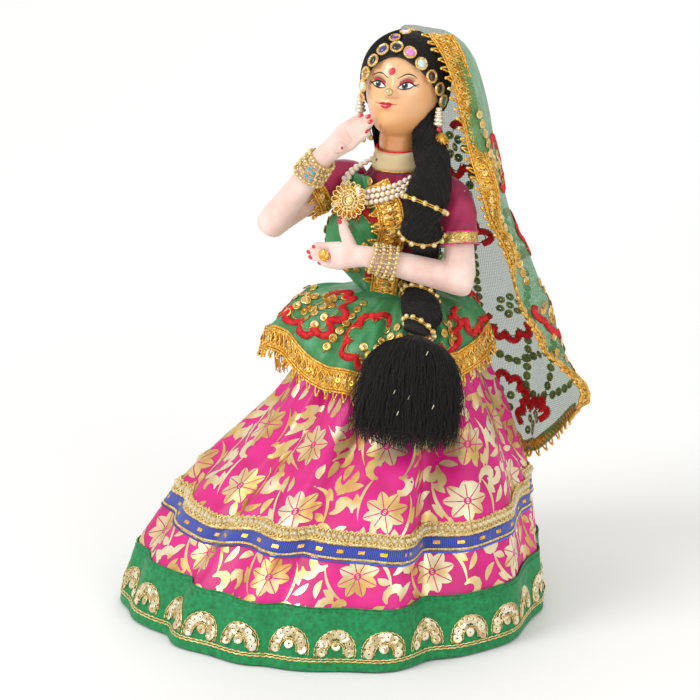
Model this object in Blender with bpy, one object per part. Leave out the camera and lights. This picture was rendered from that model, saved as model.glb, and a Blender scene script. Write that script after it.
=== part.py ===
# Rajasthani dressed display doll: stuffed body on a dowel and board, poseable wire arms, draped head cloth.
# Millimetres in the constants, metres in the meshes. She faces -Y, her left is +X, the floor is z = 0.
import bpy
import bmesh
import math
from mathutils import Vector, Matrix

for old in list(bpy.data.objects):
    bpy.data.objects.remove(old, do_unlink=True)

mm = 0.001

# overall sizes
skirtHemRadius = 105.5
skirtWaistRadius = 20.0
waistHeight = 154.0
skirtLean = (15.0, 30.0)          # how far the waist stands off the middle of the hem
clothThick = 1.4
layerGap = 0.5
foldCount = 8
foldDepth = 3.0
aroundSkirt = 48

# board, dowel, stuffing
boardRadius = 95.0
boardThick = 6.0
rodRadius = 3.5
rodTop = waistHeight + 42.0
boreRoom = 0.4

# body
torsoAxis = (16.0, 32.0)
torsoTop = waistHeight + 68.0
neckRadius = 9.2
neckPlugRadius = 5.5
neckPlugDepth = 10.0
chinHeight = torsoTop + 21.0
headCentre = (17.0, 35.0, torsoTop + 41.5)
headRadii = (18.5, 21.0, 24.0)
faceTurn = -73.0                  # the way she looks, a compass angle; -90 is straight ahead
hairThick = 3.0

# arms
armRadius = 8.0
wristRadius = 5.6
wireRadius = 0.8
wireBore = 1.3
spare = armRadius - 8.0            # thicker arms stand further off the body and the plait
shoulderLeft = (50.5 + spare, 31.0, waistHeight + 58.0)
elbowLeft = (60.5 + spare, 19.6 - 2 * spare, waistHeight + 20.0)
wristLeft = (21.5, -6.0 - 2 * spare, waistHeight + 32.5)
tipsLeft = (-12.0, -9.0 - 2 * spare, waistHeight + 28.5)
shoulderRight = (-18.5 - spare, 29.0, waistHeight + 58.0)
elbowRight = (-37.0 - spare, -2.0, waistHeight + 40.0)
wristRight = (-8.5 - spare, 2.0, waistHeight + 78.0)
tipsRight = (13.0 - spare, 10.5, waistHeight + 98.5)

# trims
hemBorderTop = 27.0
trimLow = 50.0
trimSplit = 56.5
trimHigh = 64.0
trimThick = 1.2
laceWidth = 12.0
beadRadius = 1.4


def makeMaterial(name, colour, roughness, metallic=0.0):
    m = bpy.data.materials.new(name)
    m.use_nodes = True
    b = m.node_tree.nodes["Principled BSDF"]
    b.inputs["Base Color"].default_value = (*colour, 1.0)
    b.inputs["Roughness"].default_value = roughness
    b.inputs["Metallic"].default_value = metallic
    return m


board = makeMaterial("boardWood", (0.45, 0.30, 0.16), 0.7)
stuffing = makeMaterial("cottonStuffing", (0.80, 0.77, 0.70), 0.95)
skin = makeMaterial("glossSkin", (0.81, 0.49, 0.24), 0.25)
stocking = makeMaterial("stockinette", (0.88, 0.72, 0.66), 0.9)
hair = makeMaterial("blackWool", (0.010, 0.009, 0.009), 0.8)
satin = makeMaterial("magentaSatin", (0.75, 0.03, 0.27), 0.45)
maroon = makeMaterial("maroonBlouse", (0.30, 0.015, 0.08), 0.6)
net = makeMaterial("greenNet", (0.09, 0.32, 0.13), 0.7)
gold = makeMaterial("goldLace", (0.78, 0.42, 0.05), 0.4, 0.5)
metal = makeMaterial("goldBeads", (0.83, 0.62, 0.26), 0.3, 1.0)
blue = makeMaterial("blueBraid", (0.03, 0.07, 0.45), 0.7)
green = makeMaterial("greenBorder", (0.01, 0.27, 0.08), 0.6)
pearl = makeMaterial("pearlBeads", (0.85, 0.80, 0.68), 0.2)
steel = makeMaterial("armWire", (0.55, 0.55, 0.55), 0.4, 1.0)


def addMesh(name, points, faces, material, smooth=True):
    """Makes one object from points in millimetres, with its faces turned outwards."""
    me = bpy.data.meshes.new(name)
    me.from_pydata([tuple(c * mm for c in p) for p in points], [], faces)
    bm = bmesh.new()
    bm.from_mesh(me)
    bmesh.ops.recalc_face_normals(bm, faces=bm.faces)
    if bm.calc_volume(signed=True) < 0:
        bmesh.ops.reverse_faces(bm, faces=bm.faces)
    bm.to_mesh(me)
    bm.free()
    if smooth:
        me.polygons.foreach_set("use_smooth", [True] * len(me.polygons))
    me.materials.append(material)
    ob = bpy.data.objects.new(name, me)
    bpy.context.scene.collection.objects.link(ob)
    return ob


def setOrigin(ob, point):
    """Moves the object's origin to a point in millimetres without moving its mesh."""
    p = Vector([c * mm for c in point])
    ob.data.transform(Matrix.Translation(-p))
    ob.location = p
    return ob


def ramp(table, x):
    """Straight-line value between rows of (x, value)."""
    if x <= table[0][0]:
        return table[0][1]
    for (x0, v0), (x1, v1) in zip(table, table[1:]):
        if x <= x1:
            return v0 + (v1 - v0) * (x - x0) / (x1 - x0)
    return table[-1][1]


def gridFaces(rows, cols, wrapCols, flip=False, start=0):
    out = []
    last = cols if wrapCols else cols - 1
    for i in range(rows - 1):
        for j in range(last):
            k = (j + 1) % cols
            quad = (start + i * cols + j, start + i * cols + k,
                    start + (i + 1) * cols + k, start + (i + 1) * cols + j)
            out.append(quad[::-1] if flip else quad)
    return out


def shell(name, outer, inner, material, wrap):
    """A sheet of cloth: an outer grid and an inner grid of points, joined round their free edges."""
    rows, cols = len(outer), len(outer[0])
    points = [p for r in outer for p in r] + [p for r in inner for p in r]
    n = rows * cols
    faces = gridFaces(rows, cols, wrap) + gridFaces(rows, cols, wrap, True, n)
    last = cols if wrap else cols - 1
    for j in range(last):
        k = (j + 1) % cols
        faces.append((j, n + j, n + k, k))
        b = (rows - 1) * cols
        faces.append((b + k, n + b + k, n + b + j, b + j))
    if not wrap:
        for i in range(rows - 1):
            a, c = i * cols, (i + 1) * cols
            faces.append((a, c, n + c, n + a))
            a, c = a + cols - 1, c + cols - 1
            faces.append((c, a, n + a, n + c))
    return addMesh(name, points, faces, material)


def sweep(name, path, radii, material, segs=12, flat=None, reference=(0, 0, 1), bore=0.0):
    """A closed rod along a path. radii is the half width at each point, flat the share of it left across."""
    pts = [Vector(p) for p in path]
    n = len(pts)
    flat = flat or [1.0] * n
    ref = Vector(reference)

    def rings(scaleTo=None):
        out = []
        for i, p in enumerate(pts):
            t = (pts[min(i + 1, n - 1)] - pts[max(i - 1, 0)]).normalized()
            a = t.cross(ref)
            if a.length < 1e-4:
                a = t.cross(Vector((1, 0, 0)))
            a.normalize()
            b = t.cross(a)
            ra = scaleTo or radii[i]
            rb = scaleTo or radii[i] * flat[i]
            for s in range(segs):
                w = 2 * math.pi * s / segs
                out.append(p + a * (ra * math.cos(w)) + b * (rb * math.sin(w)))
        return out

    points = rings()
    faces = gridFaces(n, segs, True)
    if bore:
        m = len(points)
        points += rings(bore)
        faces += gridFaces(n, segs, True, True, m)
        for j in range(segs):
            k = (j + 1) % segs
            faces.append((j, m + j, m + k, k))
            b = (n - 1) * segs
            faces.append((b + k, m + b + k, m + b + j, b + j))
    else:
        faces.append(tuple(range(segs)))
        faces.append(tuple(reversed(range((n - 1) * segs, n * segs))))
    return addMesh(name, points, faces, material)


def hoop(name, centre, axis, major, minor, material, around=20, section=6, tall=1.0, lumps=0, lumpDepth=0.0):
    """A ring of round or tall section about an axis; lumps makes it a row of beads."""
    z = Vector(axis).normalized()
    x = z.orthogonal().normalized()
    y = z.cross(x)
    c = Vector(centre)
    points = []
    for i in range(around):
        w = 2 * math.pi * i / around
        out = x * math.cos(w) + y * math.sin(w)
        r = minor - lumpDepth * (0.5 - 0.5 * math.cos(lumps * w)) if lumps else minor
        for s in range(section):
            q = 2 * math.pi * s / section
            points.append(c + out * (major + r * math.cos(q)) + z * (r * tall * math.sin(q)))
    faces = []
    for i in range(around):
        for s in range(section):
            k, t = (i + 1) % around, (s + 1) % section
            faces.append((i * section + s, k * section + s, k * section + t, i * section + t))
    return addMesh(name, points, faces, material)


def turned(name, profile, centre, material, segs=24, axis=(0, 0, 1), smooth=True):
    """A solid turned about an axis from (radius, height) pairs; the first and last radius may be zero."""
    z = Vector(axis).normalized()
    x = z.orthogonal().normalized()
    y = z.cross(x)
    c = Vector(centre)
    points, ringsAt = [], []
    for r, h in profile:
        ringsAt.append((len(points), r < 1e-6))
        if r < 1e-6:
            points.append(c + z * h)
        else:
            for s in range(segs):
                w = 2 * math.pi * s / segs
                points.append(c + z * h + x * (r * math.cos(w)) + y * (r * math.sin(w)))
    faces = []
    for (a, pa), (b, pb) in zip(ringsAt, ringsAt[1:]):
        for s in range(segs):
            t = (s + 1) % segs
            if pa:
                faces.append((a, b + s, b + t))
            elif pb:
                faces.append((a + s, b, a + t))
            else:
                faces.append((a + s, b + s, b + t, a + t))
    if not ringsAt[0][1]:
        faces.append(tuple(range(segs)))
    if not ringsAt[-1][1]:
        b = ringsAt[-1][0]
        faces.append(tuple(reversed(range(b, b + segs))))
    return addMesh(name, points, faces, material, smooth)


def ball(name, centre, radii, material, segs=20, rows=12):
    """A rounded solid with three half sizes."""
    profile = [(0.0, -1.0)]
    for i in range(1, rows):
        q = -math.pi / 2 + math.pi * i / rows
        profile.append((math.cos(q), math.sin(q)))
    profile.append((0.0, 1.0))
    ob = turned(name, profile, (0, 0, 0), material, segs)
    ob.data.transform(Matrix.Diagonal((radii[0], radii[1], radii[2], 1.0)))
    ob.data.transform(Matrix.Translation(Vector([c * mm for c in centre])))
    return ob


def cut(ob, cutter, how="DIFFERENCE"):
    """Cuts with, or joins, another solid and removes it."""
    mod = ob.modifiers.new("cut", "BOOLEAN")
    mod.operation = how
    mod.solver = "EXACT"
    mod.object = cutter
    bpy.context.view_layer.update()
    deps = bpy.context.evaluated_depsgraph_get()
    done = bpy.data.meshes.new_from_object(ob.evaluated_get(deps))
    ob.modifiers.clear()
    oldMesh = ob.data
    material = oldMesh.materials[0]
    ob.data = done
    bpy.data.meshes.remove(oldMesh)
    done.materials.clear()
    done.materials.append(material)
    done.polygons.foreach_set("material_index", [0] * len(done.polygons))
    bpy.data.objects.remove(cutter, do_unlink=True)
    return ob


def along(a, b, t):
    return tuple(a[i] + (b[i] - a[i]) * t for i in range(3))


def direction(a, b):
    return (Vector(b) - Vector(a)).normalized()


# ---- skirt surface: radius and centre by height, with folds that grow downwards
def skirtRadius(z):
    h = z / waistHeight
    full = skirtHemRadius - skirtWaistRadius
    return skirtWaistRadius + full * ramp([(0, 1.0), (0.2, 0.93), (0.42, 0.755), (0.65, 0.45), (0.86, 0.215), (1, 0)], h)


def skirtCentre(z):
    k = ramp([(0, 0.0), (0.2, 0.12), (0.42, 0.43), (0.65, 0.85), (0.86, 1.0), (1, 1.0)], z / waistHeight)
    return skirtLean[0] * k, skirtLean[1] * k


def skirtPoint(w, z, off=0.0):
    cx, cy = skirtCentre(z)
    depth = foldDepth * ramp([(0, 1.0), (0.5, 0.9), (0.9, 0.1), (1, 0.0)], z / waistHeight)
    r = skirtRadius(z) + depth * math.cos(foldCount * w) + off
    return (cx + r * math.cos(w), cy + r * math.sin(w), z)


def levels(low, high):
    """Heights shared by all the layers, so that one layer's flats lie on the next one's."""
    marks = [0.2, 0.42, 0.5, 0.65, 0.86, 0.9]
    between = [m * waistHeight for m in marks if low + 1 < m * waistHeight < high - 1]
    return [low] + between + [high]


def skirtBand(name, low, high, offIn, offOut, material):
    zs = levels(low, high)
    ws = [2 * math.pi * j / aroundSkirt for j in range(aroundSkirt)]
    outer = [[skirtPoint(w, z, offOut) for w in ws] for z in zs]
    inner = [[skirtPoint(w, z, offIn) for w in ws] for z in zs]
    return shell(name, outer, inner, material, True)


# ---- body surface
def torsoHalf(z):
    k = (z - waistHeight) / (torsoTop - waistHeight)
    wide = ramp([(0, 15.5), (0.22, 15.0), (0.45, 17.5), (0.68, 20.5), (0.85, 21.0), (0.94, 17.0), (1, 12.5)], k)
    deep = ramp([(0, 13.0), (0.22, 12.5), (0.45, 15.0), (0.64, 16.5), (0.85, 12.5), (0.94, 11.5), (1, 11.0)], k)
    return wide, deep


frontLoose = 13.0                  # how far the cloth over her right side stands off
torsoMarks = [0, 0.22, 0.45, 0.64, 0.68, 0.85, 0.94, 1]


def torsoPoint(w, z, off=0.0):
    a, b = torsoHalf(z)
    return (torsoAxis[0] + (a + off) * math.cos(w), torsoAxis[1] + (b + off) * math.sin(w), z)


def torsoLevels(low, high):
    span = torsoTop - waistHeight
    zs = [waistHeight + m * span for m in torsoMarks]
    return [low] + [z for z in zs if low + 0.8 < z < high - 0.8] + [high]


def bodyShell(name, low, high, offIn, offOut, fromAngle, toAngle, material, cols=20):
    whole = abs(toAngle - fromAngle) > 359
    count = cols if whole else cols + 1
    ws = [math.radians(fromAngle + (toAngle - fromAngle) * j / cols) for j in range(count)]
    zs = torsoLevels(low, high)
    outer = [[torsoPoint(w, z, offOut) for w in ws] for z in zs]
    inner = [[torsoPoint(w, z, offIn) for w in ws] for z in zs]
    return shell(name, outer, inner, material, whole)


def makeStand():
    turned("base_board", [(boardRadius, 0), (boardRadius, boardThick)], (0, 0, 0), board, 48, smooth=False)
    x, y = torsoAxis
    turned("support_rod", [(rodRadius, boardThick + 0.3), (rodRadius, rodTop)], (x, y, 0), board, 16)


def makeStuffing():
    zs = levels(boardThick + 0.6, waistHeight - 2.5)
    ws = [2 * math.pi * j / aroundSkirt for j in range(aroundSkirt)]
    inset = -(clothThick / 2 + layerGap)
    points = [skirtPoint(w, z, inset) for z in zs for w in ws]
    faces = gridFaces(len(zs), aroundSkirt, True)
    faces.append(tuple(range(aroundSkirt)))
    faces.append(tuple(reversed(range((len(zs) - 1) * aroundSkirt, len(zs) * aroundSkirt))))
    pad = addMesh("skirt_wadding", points, faces, stuffing)
    x, y = torsoAxis
    bore = rodRadius + boreRoom
    cut(pad, turned("tool", [(bore, -20), (bore, waistHeight + 66)], (x, y, 0), stuffing, 16))


def makeTorso():
    zs = torsoLevels(waistHeight + 0.3, torsoTop)
    ws = [2 * math.pi * j / 20 for j in range(20)]
    points = [torsoPoint(w, z) for z in zs for w in ws]
    faces = gridFaces(len(zs), 20, True)
    faces.append(tuple(range(20)))
    faces.append(tuple(reversed(range((len(zs) - 1) * 20, len(zs) * 20))))
    body = addMesh("torso", points, faces, stuffing)
    x, y = torsoAxis
    bore = rodRadius + boreRoom
    cut(body, turned("tool", [(bore, 100), (bore, rodTop + 1)], (x, y, 0), stuffing, 16))
    socket = neckPlugRadius + boreRoom
    low = torsoTop - neckPlugDepth - 0.6
    cut(body, turned("tool", [(socket, low), (socket, torsoTop + 20)], (x, y, 0), stuffing, 16))


def faceOut(reach, rise):
    """Point straight out from the middle of the face, which looks a little to her left."""
    a = math.radians(faceTurn)
    return (headCentre[0] + reach * math.cos(a), headCentre[1] + reach * math.sin(a), headCentre[2] + rise)


def makeHead():
    x, y = torsoAxis
    neck = turned("head", [(neckPlugRadius, torsoTop - neckPlugDepth), (neckPlugRadius, torsoTop + 0.5),
                           (neckRadius + 0.8, torsoTop + 0.5), (neckRadius, torsoTop + 6),
                           (neckRadius, chinHeight + 12)], (x, y, 0), skin, 24)
    skull = ball("tool", headCentre, headRadii, skin, 20, 12)
    for v in skull.data.vertices:
        k = (v.co.z / mm - headCentre[2]) / headRadii[2]
        if k < 0:
            v.co.x = headCentre[0] * mm + (v.co.x - headCentre[0] * mm) * (1 + 0.10 * k)
            v.co.y -= 1.6 * mm * k * k
    cut(neck, skull, "UNION")
    nose = ball("tool", faceOut(headRadii[1] - 0.4, 3.0), (2.4, 3.4, 4.6), skin, 10, 6)
    cut(neck, nose, "UNION")


def makeHair():
    cx, cy, cz = headCentre
    cap = ball("hair_cap", (cx, cy + 1.5, cz + 0.8),
               tuple(r + hairThick for r in headRadii), hair, 22, 12)
    face = ball("tool", faceOut(26, -14), (19.5, 30, 31), hair, 20, 10)
    cut(cap, face)
    inside = ball("tool", headCentre, tuple(r + 0.6 for r in headRadii), hair, 20, 12)
    cut(cap, inside)
    below = turned("tool", [(60, cz - 60), (60, cz - 17)], (cx, cy, 0), hair, 24)
    cut(cap, below)
    nape = turned("tool", [(neckRadius + 1.2, cz - 63), (neckRadius + 1.2, cz - 10)],
                  (torsoAxis[0], torsoAxis[1], 0), hair, 24)
    cut(cap, nape)


def headSkin(w, h, off):
    """Point off the head at compass angle w (degrees, -90 is her front) and relative height h."""
    q = math.sqrt(max(0.0, 1 - h * h))
    a = math.radians(w)
    return (headCentre[0] + (headRadii[0] + off) * q * math.cos(a),
            headCentre[1] + (headRadii[1] + off) * q * math.sin(a),
            headCentre[2] + (headRadii[2] + off) * h)


def beads(name, path, radius, neckShare, count, material, segs=6, flat=1.0, reference=(0, 0, 1)):
    """One strand: a rod whose width swells count times along the path."""
    steps = count * 3
    pts = [Vector(p) for p in path]
    lengths = [0.0]
    for a, b in zip(pts, pts[1:]):
        lengths.append(lengths[-1] + (b - a).length)
    out, radii = [], []
    for i in range(steps + 1):
        s = lengths[-1] * i / steps
        k = max(j for j in range(len(lengths)) if lengths[j] <= s + 1e-9)
        k = min(k, len(pts) - 2)
        t = (s - lengths[k]) / (lengths[k + 1] - lengths[k])
        out.append(pts[k].lerp(pts[k + 1], t))
        radii.append(radius * (neckShare + (1 - neckShare) * abs(math.sin(math.pi * count * i / steps))))
    return sweep(name, out, radii, material, segs, [flat] * len(out), reference)


# brow chains: compass angle and relative height along each side
browLeft = [(0, -82), (0.2, -50), (0.4, -33), (0.6, -18), (0.8, -5), (1, 5)]
browLeftUp = [(0, 0.80), (0.2, 0.74), (0.4, 0.57), (0.6, 0.33), (0.8, 0.08), (1, -0.14)]
browRight = [(0, -93), (0.2, -106), (0.4, -113), (0.6, -118), (0.8, -121), (1, -123)]
browRightUp = [(0, 0.80), (0.2, 0.69), (0.4, 0.55), (0.6, 0.36), (0.8, 0.16), (1, -0.02)]


def makeHeadJewels():
    stand = hairThick + 1.9
    for side, name in ((-1, "brow_chain_right"), (1, "brow_chain_left")):
        angles, heights = (browLeft, browLeftUp) if side > 0 else (browRight, browRightUp)
        path = []
        for i in range(9):
            t = i / 8
            path.append(headSkin(ramp(angles, t), ramp(heights, t), stand + 0.3 + 1.0 * t))
        beads(name, path, 1.7, 0.55, 6, metal, 6)
    path = [headSkin(-90, 0.80 + 0.19 * i / 4, stand + 2.2) for i in range(3)]
    path = [(p[0], p[1], p[2] + 1.5) for p in path]
    beads("parting_chain", path, 1.9, 0.6, 2, metal, 6, reference=(1, 0, 0))
    ball("nose_bead", faceOut(headRadii[1] + 4.9, 1.4), (1.7, 1.7, 1.7), metal, 10, 6)
    for side, name in ((-1, "earring_right"), (1, "earring_left")):
        x = headCentre[0] + side * (headRadii[0] + 4.6)
        top = headCentre[2] - 7.5
        y = headCentre[1] - 4
        drop = turned(name, [(0, 0), (1.6, -1.5), (1.6, -3.5), (0.8, -5), (2.2, -6.5), (4.0, -9), (4.4, -12),
                             (3.0, -12.4), (1.2, -14), (1.6, -16), (0, -18)], (x, y, top), metal, 12)
        setOrigin(drop, (x, y, top))


def makeArm(side, shoulder, elbow, wrist, tips, thumbAway, sleeveTo, flatRef, turnRings, swings=()):
    s, e, w, t = Vector(shoulder), Vector(elbow), Vector(wrist), Vector(tips)
    up = (e - s).normalized()
    length = (e - s).length
    cuts = [-5.5, -3.0, 2.0, length * 0.5, length - 3.0]
    radii = [4.4, 7.0, armRadius, armRadius - 0.6, armRadius - 0.5]
    upper = sweep("upper_arm_" + side, [s + up * c for c in cuts], radii, stocking, 14, bore=wireBore)
    fore = (w - e).normalized()
    reach = (w - e).length
    path = [e - fore * 6.8, e - fore * 4.8, e, e + fore * reach * 0.5, w]
    rad = [3.9, 6.2, armRadius - 0.4, 6.9, wristRadius]
    flat = [1.0, 1.0, 1.0, 1.0, 1.0]
    hand = t - w
    for k, r, f in ((0.15, 5.8, 0.85), (0.36, 7.6, 0.6), (0.6, 7.2, 0.52), (0.85, 5.2, 0.5), (1.0, 2.2, 0.6)):
        path.append(w + hand * k)
        rad.append(r)
        flat.append(f)
    limb = sweep("forearm_" + side, path, rad, stocking, 14, flat, flatRef)
    th = Vector(thumbAway)
    base = w + hand * 0.34
    thumb = sweep("tool", [base, base + th * 0.5, base + th * 0.9, base + th], [2.6, 2.5, 2.1, 1.0], stocking, 8)
    cut(limb, thumb, "UNION")
    wirePath = [e - fore * 5.0, w - fore * 1.0]
    hole = sweep("tool", [e - fore * 9.0, w + fore * 0.5], [wireBore, wireBore], stocking, 8)
    cut(limb, hole)
    # the upper arm gives way to the elbow ball and to the bent forearm
    room = sweep("tool", path[:6], [r + 0.45 for r in rad[:6]], stocking, 14, flat[:6], flatRef)
    cut(upper, room)
    cut(upper, ball("tool", elbow, [armRadius + 0.3] * 3, stocking, 20, 12))
    # and to the forearm as it swings
    for turn in swings:
        spin = Matrix.Translation(e) @ Matrix.Rotation(math.radians(turn), 4, "Z") @ Matrix.Translation(-e)
        swept = [spin @ p for p in path[2:5]]
        cut(upper, sweep("tool", swept, [r + 0.45 for r in rad[2:5]], stocking, 14, flat[2:5], flatRef))
    # one wire each side of the elbow
    sweep("upper_wire_" + side, [s - up * 4.0, e - up * (armRadius + 7.0)], [wireRadius] * 2, steel, 8)
    sweep("lower_wire_" + side, wirePath, [wireRadius] * 2, steel, 8)
    # sleeve and its gold band
    a0, a1 = sleeveTo
    room = armRadius + 0.45
    outer = [a0 + (a1 - a0) * i / 3 for i in range(4)]
    sweepTube("sleeve_" + side, [s + up * c for c in outer], room, room + 1.2, maroon)
    sweepTube("sleeve_band_" + side, [s + up * (a1 + 0.4), s + up * (a1 + 6.4)], room, room + 1.5, gold)
    setOrigin(upper, shoulder)
    setOrigin(limb, elbow)
    count, start, step = turnRings
    for i in range(count):
        d = start + step * i
        c = w - fore * d
        k = d / reach
        r = wristRadius + (6.9 - wristRadius) * min(1.0, 2 * k)
        hoop("bangle_%s_%d" % (side, i + 1), c, fore, r + beadRadius + 0.45, beadRadius, metal, 16, 5)


def sweepTube(name, path, inner, outer, material, segs=16):
    """An open tube of cloth round a limb."""
    pts = [Vector(p) for p in path]
    axis = (pts[-1] - pts[0]).normalized()
    x = axis.orthogonal().normalized()
    y = axis.cross(x)
    ws = [2 * math.pi * j / segs for j in range(segs)]

    def rows(r):
        return [[p + x * (r * math.cos(w)) + y * (r * math.sin(w)) for w in ws] for p in pts]

    return shell(name, rows(outer), rows(inner), material, True)


# ---- head cloth: columns run down from the crown, her left edge first
crown = (17.0, 45.0, headCentre[2] + headRadii[2] + 7.5)
veilBottom = 57.0
veilLeft = [(0, 0.0), (0.03, 17.0), (0.061, 28.0), (0.124, 36.0), (0.18, 40.0), (0.245, 44.0), (0.32, 49.0),
            (0.407, 53.0), (0.459, 60.0), (0.53, 66.0), (0.606, 72.0), (0.652, 78.0), (0.736, 86.0),
            (0.811, 91.0), (0.9, 83.0), (1.0, 76.0)]
veilBack = [(0, 0.0), (0.03, 15.0), (0.061, 22.0), (0.13, 26.5), (0.24, 28.0), (0.35, 30.0), (0.48, 35.0),
            (0.62, 43.0), (0.72, 50.0), (0.83, 61.0), (1.0, 75.0)]
veilStart = [(0, -30.0), (0.06, -24.0), (0.13, -16.0), (0.24, -8.0), (0.33, -2.0), (0.42, 6.0), (0.6, 16.0),
             (0.75, 30.0), (1, 41.0)]
veilEnd = [(0, 158.0), (0.06, 154.0), (0.13, 150.0), (0.24, 146.0), (0.33, 142.0), (1, 140.0)]


def skirtReach(a, z):
    """How far the skirt comes out from the head cloth's axis in direction a."""
    cx, cy = skirtCentre(z)
    dx, dy = cx - crown[0] + 1.0, cy - crown[1] + 13.0
    forward = dx * math.cos(a) + dy * math.sin(a)
    aside = -dx * math.sin(a) + dy * math.cos(a)
    r = skirtRadius(z) + foldDepth + clothThick + trimThick
    return forward + math.sqrt(max(0.0, r * r - aside * aside))


def veilPoint(c, d, off=0.0):
    """c runs 0 at her left edge to 1 at her right, d runs 0 at the crown to 1 at the lowest hem."""
    lowest = ramp([(0, 0.81), (0.07, 0.92), (0.14, 1.0), (0.55, 1.0), (1, 0.62)], c)
    d = d * lowest
    start = ramp(veilStart, d)
    w = start + (ramp(veilEnd, d) - start) * c
    blend = min(1.0, max(0.0, (w - 45) / 50))
    r = ramp(veilLeft, d) * (1 - blend) + ramp(veilBack, d) * blend
    r *= 1 - 0.10 * ramp([(0, 1), (22, 0)], w - start) * ramp([(0, 1), (0.7, 1), (0.81, 0)], d)
    r += 1.6 * ramp([(0, 0), (0.3, 0.3), (1, 1)], d) * math.sin(9 * math.radians(w)) + off
    a = math.radians(w)
    z = crown[2] + (veilBottom - crown[2]) * ramp([(0, 0), (0.03, 0.012), (0.061, 0.045), (0.124, 0.12), (1, 1)], d)
    back = 13.0 * min(1.0, 2.5 * d)
    r += spare * ramp([(0.2, 0), (0.35, 2), (0.6, 2), (0.7, 0)], d)
    if d > 0.55:
        r = max(r, skirtReach(a, z) + 2.5 + off)
    return (crown[0] + r * math.cos(a) - 1.0 * d, crown[1] - back + r * math.sin(a),
            z + (off if d < 0.1 else 0))


veilRows = [0.02, 0.06, 0.12, 0.2, 0.3, 0.4, 0.5, 0.6, 0.7, 0.8, 0.9, 1.0]


def makeVeil():
    cols = [0.052 + (1 - 0.052) * i / 16 for i in range(17)]
    outer = [[veilPoint(c, d, 0.5) for c in cols] for d in veilRows]
    inner = [[veilPoint(c, d, -0.5) for c in cols] for d in veilRows]
    shell("dupatta_veil", outer, inner, net, False)
    cols = [0.0, 0.022, 0.044]
    outer = [[veilPoint(c, d, 0.8) for c in cols] for d in veilRows]
    inner = [[veilPoint(c, d, -0.8) for c in cols] for d in veilRows]
    shell("veil_lace", outer, inner, gold, False)


# how far the spread end stands off the skirt, and how far below the waist its edge hangs, by compass angle
apronStand = [(-178, 23.6), (-147, 31.5), (-125, 33.0), (-105, 18.1), (-78, 13.1), (-30, 13.7), (16, 16.8), (30, 16.6)]
apronDrop = [(-178, 11.0), (-147, 17.0), (-125, 7.0), (-105, 21.0), (-78, 24.0), (-30, 18.0), (16, 12.0), (30, 11.0)]


def apronPoint(w, v, off=0.0):
    """w is the compass angle in degrees, v runs 0 at the waist to 1 at the hem and past it into the lace."""
    top = Vector(torsoPoint(math.radians(w), waistHeight + 5.5, 3.2))
    z = waistHeight - ramp(apronDrop, w)
    r = skirtRadius(z) + ramp(apronStand, w)
    low = Vector((skirtLean[0] + r * math.cos(math.radians(w)), skirtLean[1] + r * math.sin(math.radians(w)), z))
    p = top.lerp(low, v)
    lift = 6.0 * math.sin(math.pi * min(1.0, v))
    out = Vector((math.cos(math.radians(w)), math.sin(math.radians(w)), 0.9)).normalized()
    return tuple(p + out * (lift + off))


def makeFront():
    """The part brought over her right shoulder and spread over the front of skirt and blouse."""
    # it stands away from the body on her right, above the waist
    zs = torsoLevels(waistHeight + 8.0, torsoTop - 8.0)
    zs = sorted(zs + [waistHeight + 20.0, waistHeight + 38.0])

    def loose(w, z):
        rise = math.sin(math.pi * min(1.0, max(0.0, (z - waistHeight - 8.0) / 44.0)))
        return frontLoose * rise * math.exp(-((w + 140.0) / 30.0) ** 2)

    turns = [-178 + 116 * j / 12 for j in range(13)]
    outer = [[torsoPoint(math.radians(w), z, 3.6 + loose(w, z)) for w in turns] for z in zs]
    inner = [[torsoPoint(math.radians(w), z, 2.6 + loose(w, z)) for w in turns] for z in zs]
    shell("dupatta_front", outer, inner, net, False)
    ws = [-178 + 208 * j / 26 for j in range(27)]
    outer = [[apronPoint(w, v, 0.5) for w in ws] for v in (0.0, 0.25, 0.5, 0.75, 1.0)]
    inner = [[apronPoint(w, v, -0.5) for w in ws] for v in (0.0, 0.25, 0.5, 0.75, 1.0)]
    shell("dupatta_apron", outer, inner, net, False)


    def hung(w, drop, off):
        x, y, z = apronPoint(w, 1.02, off)
        return (x + 0.25 * drop * math.cos(math.radians(w)), y + 0.25 * drop * math.sin(math.radians(w)), z - drop)

    outer = [[hung(w, drop, 0.8) for w in ws] for drop in (0.6, laceWidth)]
    inner = [[hung(w, drop, -0.8) for w in ws] for drop in (0.6, laceWidth)]
    shell("apron_lace", outer, inner, gold, False)


def offSkirt(w, drop, stand):
    """Point at a compass angle, a drop below the waist and a stand-off from the mean skirt."""
    z = waistHeight - drop
    cx, cy = skirtCentre(z)
    r = skirtRadius(z) + stand
    return (cx + r * math.cos(math.radians(w)), cy + r * math.sin(math.radians(w)), z)


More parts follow.
